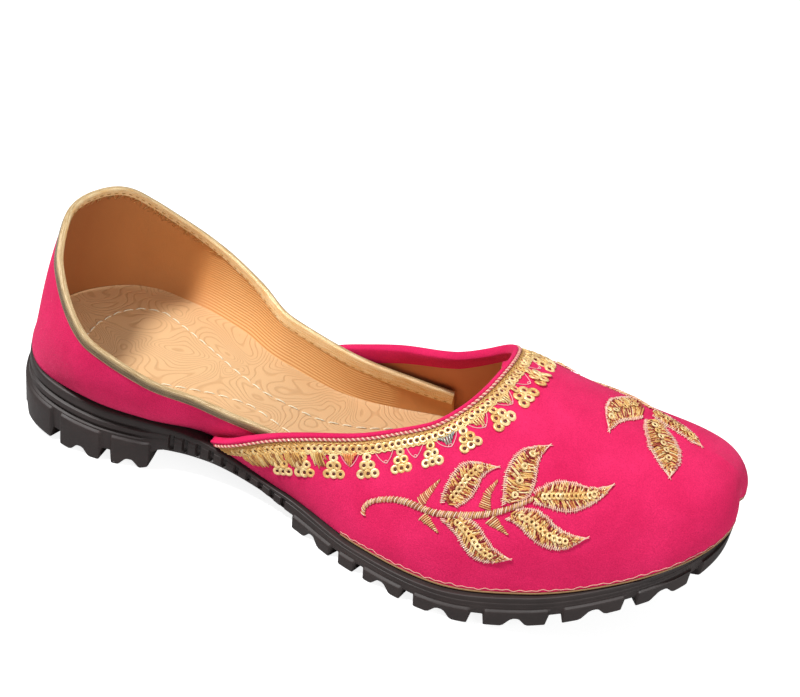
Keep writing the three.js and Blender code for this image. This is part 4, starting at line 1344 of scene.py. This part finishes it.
def branch(name, stem, leaves, thorns):
    def sew(part, paths, normals, radius, tint, thread, sides=5):
        sew_on(threads(name + part, paths, normals, radius, tint, sides), thread)

    fills, rims, specks, veins, outlines = zip(*[leaf_threads(first, second) for first, second, _ in leaves])
    fill, normals = laid(np.concatenate(fills), 0.4)
    tint = chance.choice((0.02, 0.25, 0.4, 0.6, 0.8, 1), len(fill), p=(0.14, 0.14, 0.12, 0.26, 0.22, 0.12))
    sew("_leaf_fill", fill, normals, FILL_RADIUS * np.array((0.75, 1, 1, 1, 1, 0.75)), tint, LEAF_THREAD)
    speck, normals = laid(np.concatenate(specks), 0.3, 0.42)
    tint = chance.choice((0, 0.12, 0.3, 0.7, 0.9), len(speck))
    sew("_leaf_specks", speck, normals, SPECK_RADIUS * np.array((0.7, 1, 1, 0.7)), tint, LEAF_THREAD, 4)
    rim, normals = laid(np.concatenate(rims), 0.25, 0.28)
    tint = chance.uniform(0, 1, len(rim))
    sew("_leaf_fringe", rim, normals, FRINGE_RADIUS * np.array((0.6, 1, 1, 0.7)), tint, PALE_THREAD)
    cords, normals = on_vamp(np.stack([resampled(line, 110) for line in outlines]), 0.3)
    sew("_leaf_outline", cords, normals, OUTLINE_RADIUS, np.full(len(cords), 0.3), PALE_THREAD)
    rings = [
        walked(vein, path_length(vein)[-1] * np.linspace(0.14, 0.74, count))
        for vein, (_, _, count) in zip(veins, leaves)
    ]
    rings, normals = on_vamp(np.concatenate(rings), 0.62)
    runs = np.broadcast_to((1.0, 0.1, 0.2), rings.shape)
    sew_on(set_rings(name + "_leaf_rings", rings, normals, runs, LEAF_RING), RING_GOLD)

    def shares(line):
        return np.linspace(0, 1, len(np.arange(0, path_length(line)[-1], STEM_PITCH)))

    line = rounded_line(stem, 240)
    swell = np.sin(shares(line) * math.pi)
    wraps, normals = laid(wrapped(line, 0.55 + 0.35 * swell, 0.42, STEM_PITCH), 0.5, 0.1)
    sew("_stem", wraps, normals, STEM_RADIUS, chance.uniform(0, 1, len(wraps)), STEM_THREAD)
    crossed, normals = laid(wrapped(line, 0.72 + 0.3 * swell[::2], 0.5, 2 * STEM_PITCH), 0.5, 0.3)
    tint = chance.uniform(0, 1, len(crossed))
    sew("_stem_stitches", crossed, normals, STEM_STITCH_RADIUS, tint, PALE_THREAD)
    stitches = [
        wrapped(line, THORN_WIDTH * (1 - shares(line)) ** 0.9 + 0.2, 0.25, STEM_PITCH)
        for line in [rounded_line(thorn, 40) for thorn in thorns]
    ]
    stitches, normals = laid(np.concatenate(stitches), 0.35, 0.1)
    tint = chance.uniform(0.1, 0.95, len(stitches))
    sew("_thorns", stitches, normals, THORN_RADIUS, tint, STEM_THREAD)


LEAF_THREAD = thread_material(
    "leaf_thread",
    ((0.33, 0.022, 0.03), (0.50, 0.10, 0.035), (0.74, 0.37, 0.09), (0.90, 0.57, 0.19), (0.98, 0.78, 0.42)),
    0.15, 0.42, 2600,
)
PALE_THREAD = thread_material("pale_thread", ((0.90, 0.46, 0.38), (0.99, 0.78, 0.60)), 0.05, 0.5, 2600)
STEM_THREAD = thread_material(
    "stem_thread", ((0.42, 0.12, 0.045), (0.82, 0.47, 0.17), (0.98, 0.76, 0.44)), 0.1, 0.42, 2600
)
branch("near_branch", NEAR_STEM, NEAR_LEAVES, NEAR_THORNS)
far_leaves = [(carried_over(first), carried_over(second), rings) for first, second, rings in NEAR_LEAVES[:2]]
branch("far_branch", FAR_STEM, far_leaves + list(FAR_LEAVES), [carried_over(thorn) for thorn in NEAR_THORNS])

# Studio: a floor that shows white under the shoe, a dim white surround, a small bright light from above on
# the left with weak ones in front and beyond, and the camera where the photo was taken from, a little rolled.
FLOOR_GLOW, SURROUND = 0.86, 0.23
LIGHTS = (
    # name, place in metres, power in watts, size in metres
    ("key_light", (-0.42, -0.28, 0.82), 10, 0.14),
    ("front_light", (0.75, -0.45, 0.3), 3.7, 0.5),
    ("far_light", (0.2, 0.6, 0.6), 1.2, 0.6),
)
VIEW_TURN, VIEW_RISE, VIEW_ROLL = math.radians(17.87), math.radians(30.17), math.radians(9.11)
VIEW_DISTANCE = 0.5109
VIEW_TARGET = Vector((-0.00553, 0.03865, 0.0288))
IMAGE_WIDTH, FOCAL_PIXELS, SENSOR = 800, 1499, 36

bpy.ops.mesh.primitive_plane_add(size=6)
floor = bpy.context.object
floor.name = "studio_floor"
paper, paper_tree, paper_shader = new_material("floor_paper")
fibre = add_grain(paper_tree, 3, 60)
pale = mixed(paper_tree, fibre["Patch"], (0.50, 0.50, 0.50, 1), (0.52, 0.52, 0.52, 1))
seen = add_node(paper_tree, "ShaderNodeLightPath").outputs["Is Camera Ray"]
set_inputs(paper_tree, paper_shader, {
    "Base Color": pale,
    "Roughness": 0.9,
    "Specular IOR Level": 0.1,
    "Emission Color": (1, 1, 1, 1),
    "Emission Strength": calculated(paper_tree, "MULTIPLY", seen, FLOOR_GLOW),
})
floor.data.materials.append(paper)

scene = bpy.context.scene
scene.view_settings.view_transform = "Standard"
world = bpy.data.worlds.new("studio")
world.use_nodes = True
background = world.node_tree.nodes["Background"]
set_inputs(world.node_tree, background, {"Color": (1, 1, 1, 1), "Strength": SURROUND})
scene.world = world
for name, place, power, size in LIGHTS:
    bpy.ops.object.light_add(type="AREA", location=place)
    light = bpy.context.object
    light.name = name
    light.data.energy = power
    light.data.size = size
    light.rotation_euler = (Vector((0, 0, 0.03)) - Vector(place)).to_track_quat("-Z", "Y").to_euler()

back = Vector((
    math.sin(VIEW_TURN) * math.cos(VIEW_RISE),
    -math.cos(VIEW_TURN) * math.cos(VIEW_RISE),
    math.sin(VIEW_RISE),
))
level = Vector((math.cos(VIEW_TURN), math.sin(VIEW_TURN), 0))
upright = back.cross(level)
right = level * math.cos(VIEW_ROLL) + upright * math.sin(VIEW_ROLL)
above = upright * math.cos(VIEW_ROLL) - level * math.sin(VIEW_ROLL)
bpy.ops.object.camera_add()
camera = bpy.context.object
camera.name = "photo_camera"
camera.data.sensor_width = SENSOR
camera.data.lens = FOCAL_PIXELS / IMAGE_WIDTH * SENSOR
camera.data.clip_start = 0.01
facing = Matrix((right, above, back)).transposed().to_4x4()
camera.matrix_world = Matrix.Translation(VIEW_TARGET + back * VIEW_DISTANCE) @ facing
scene.camera = camera
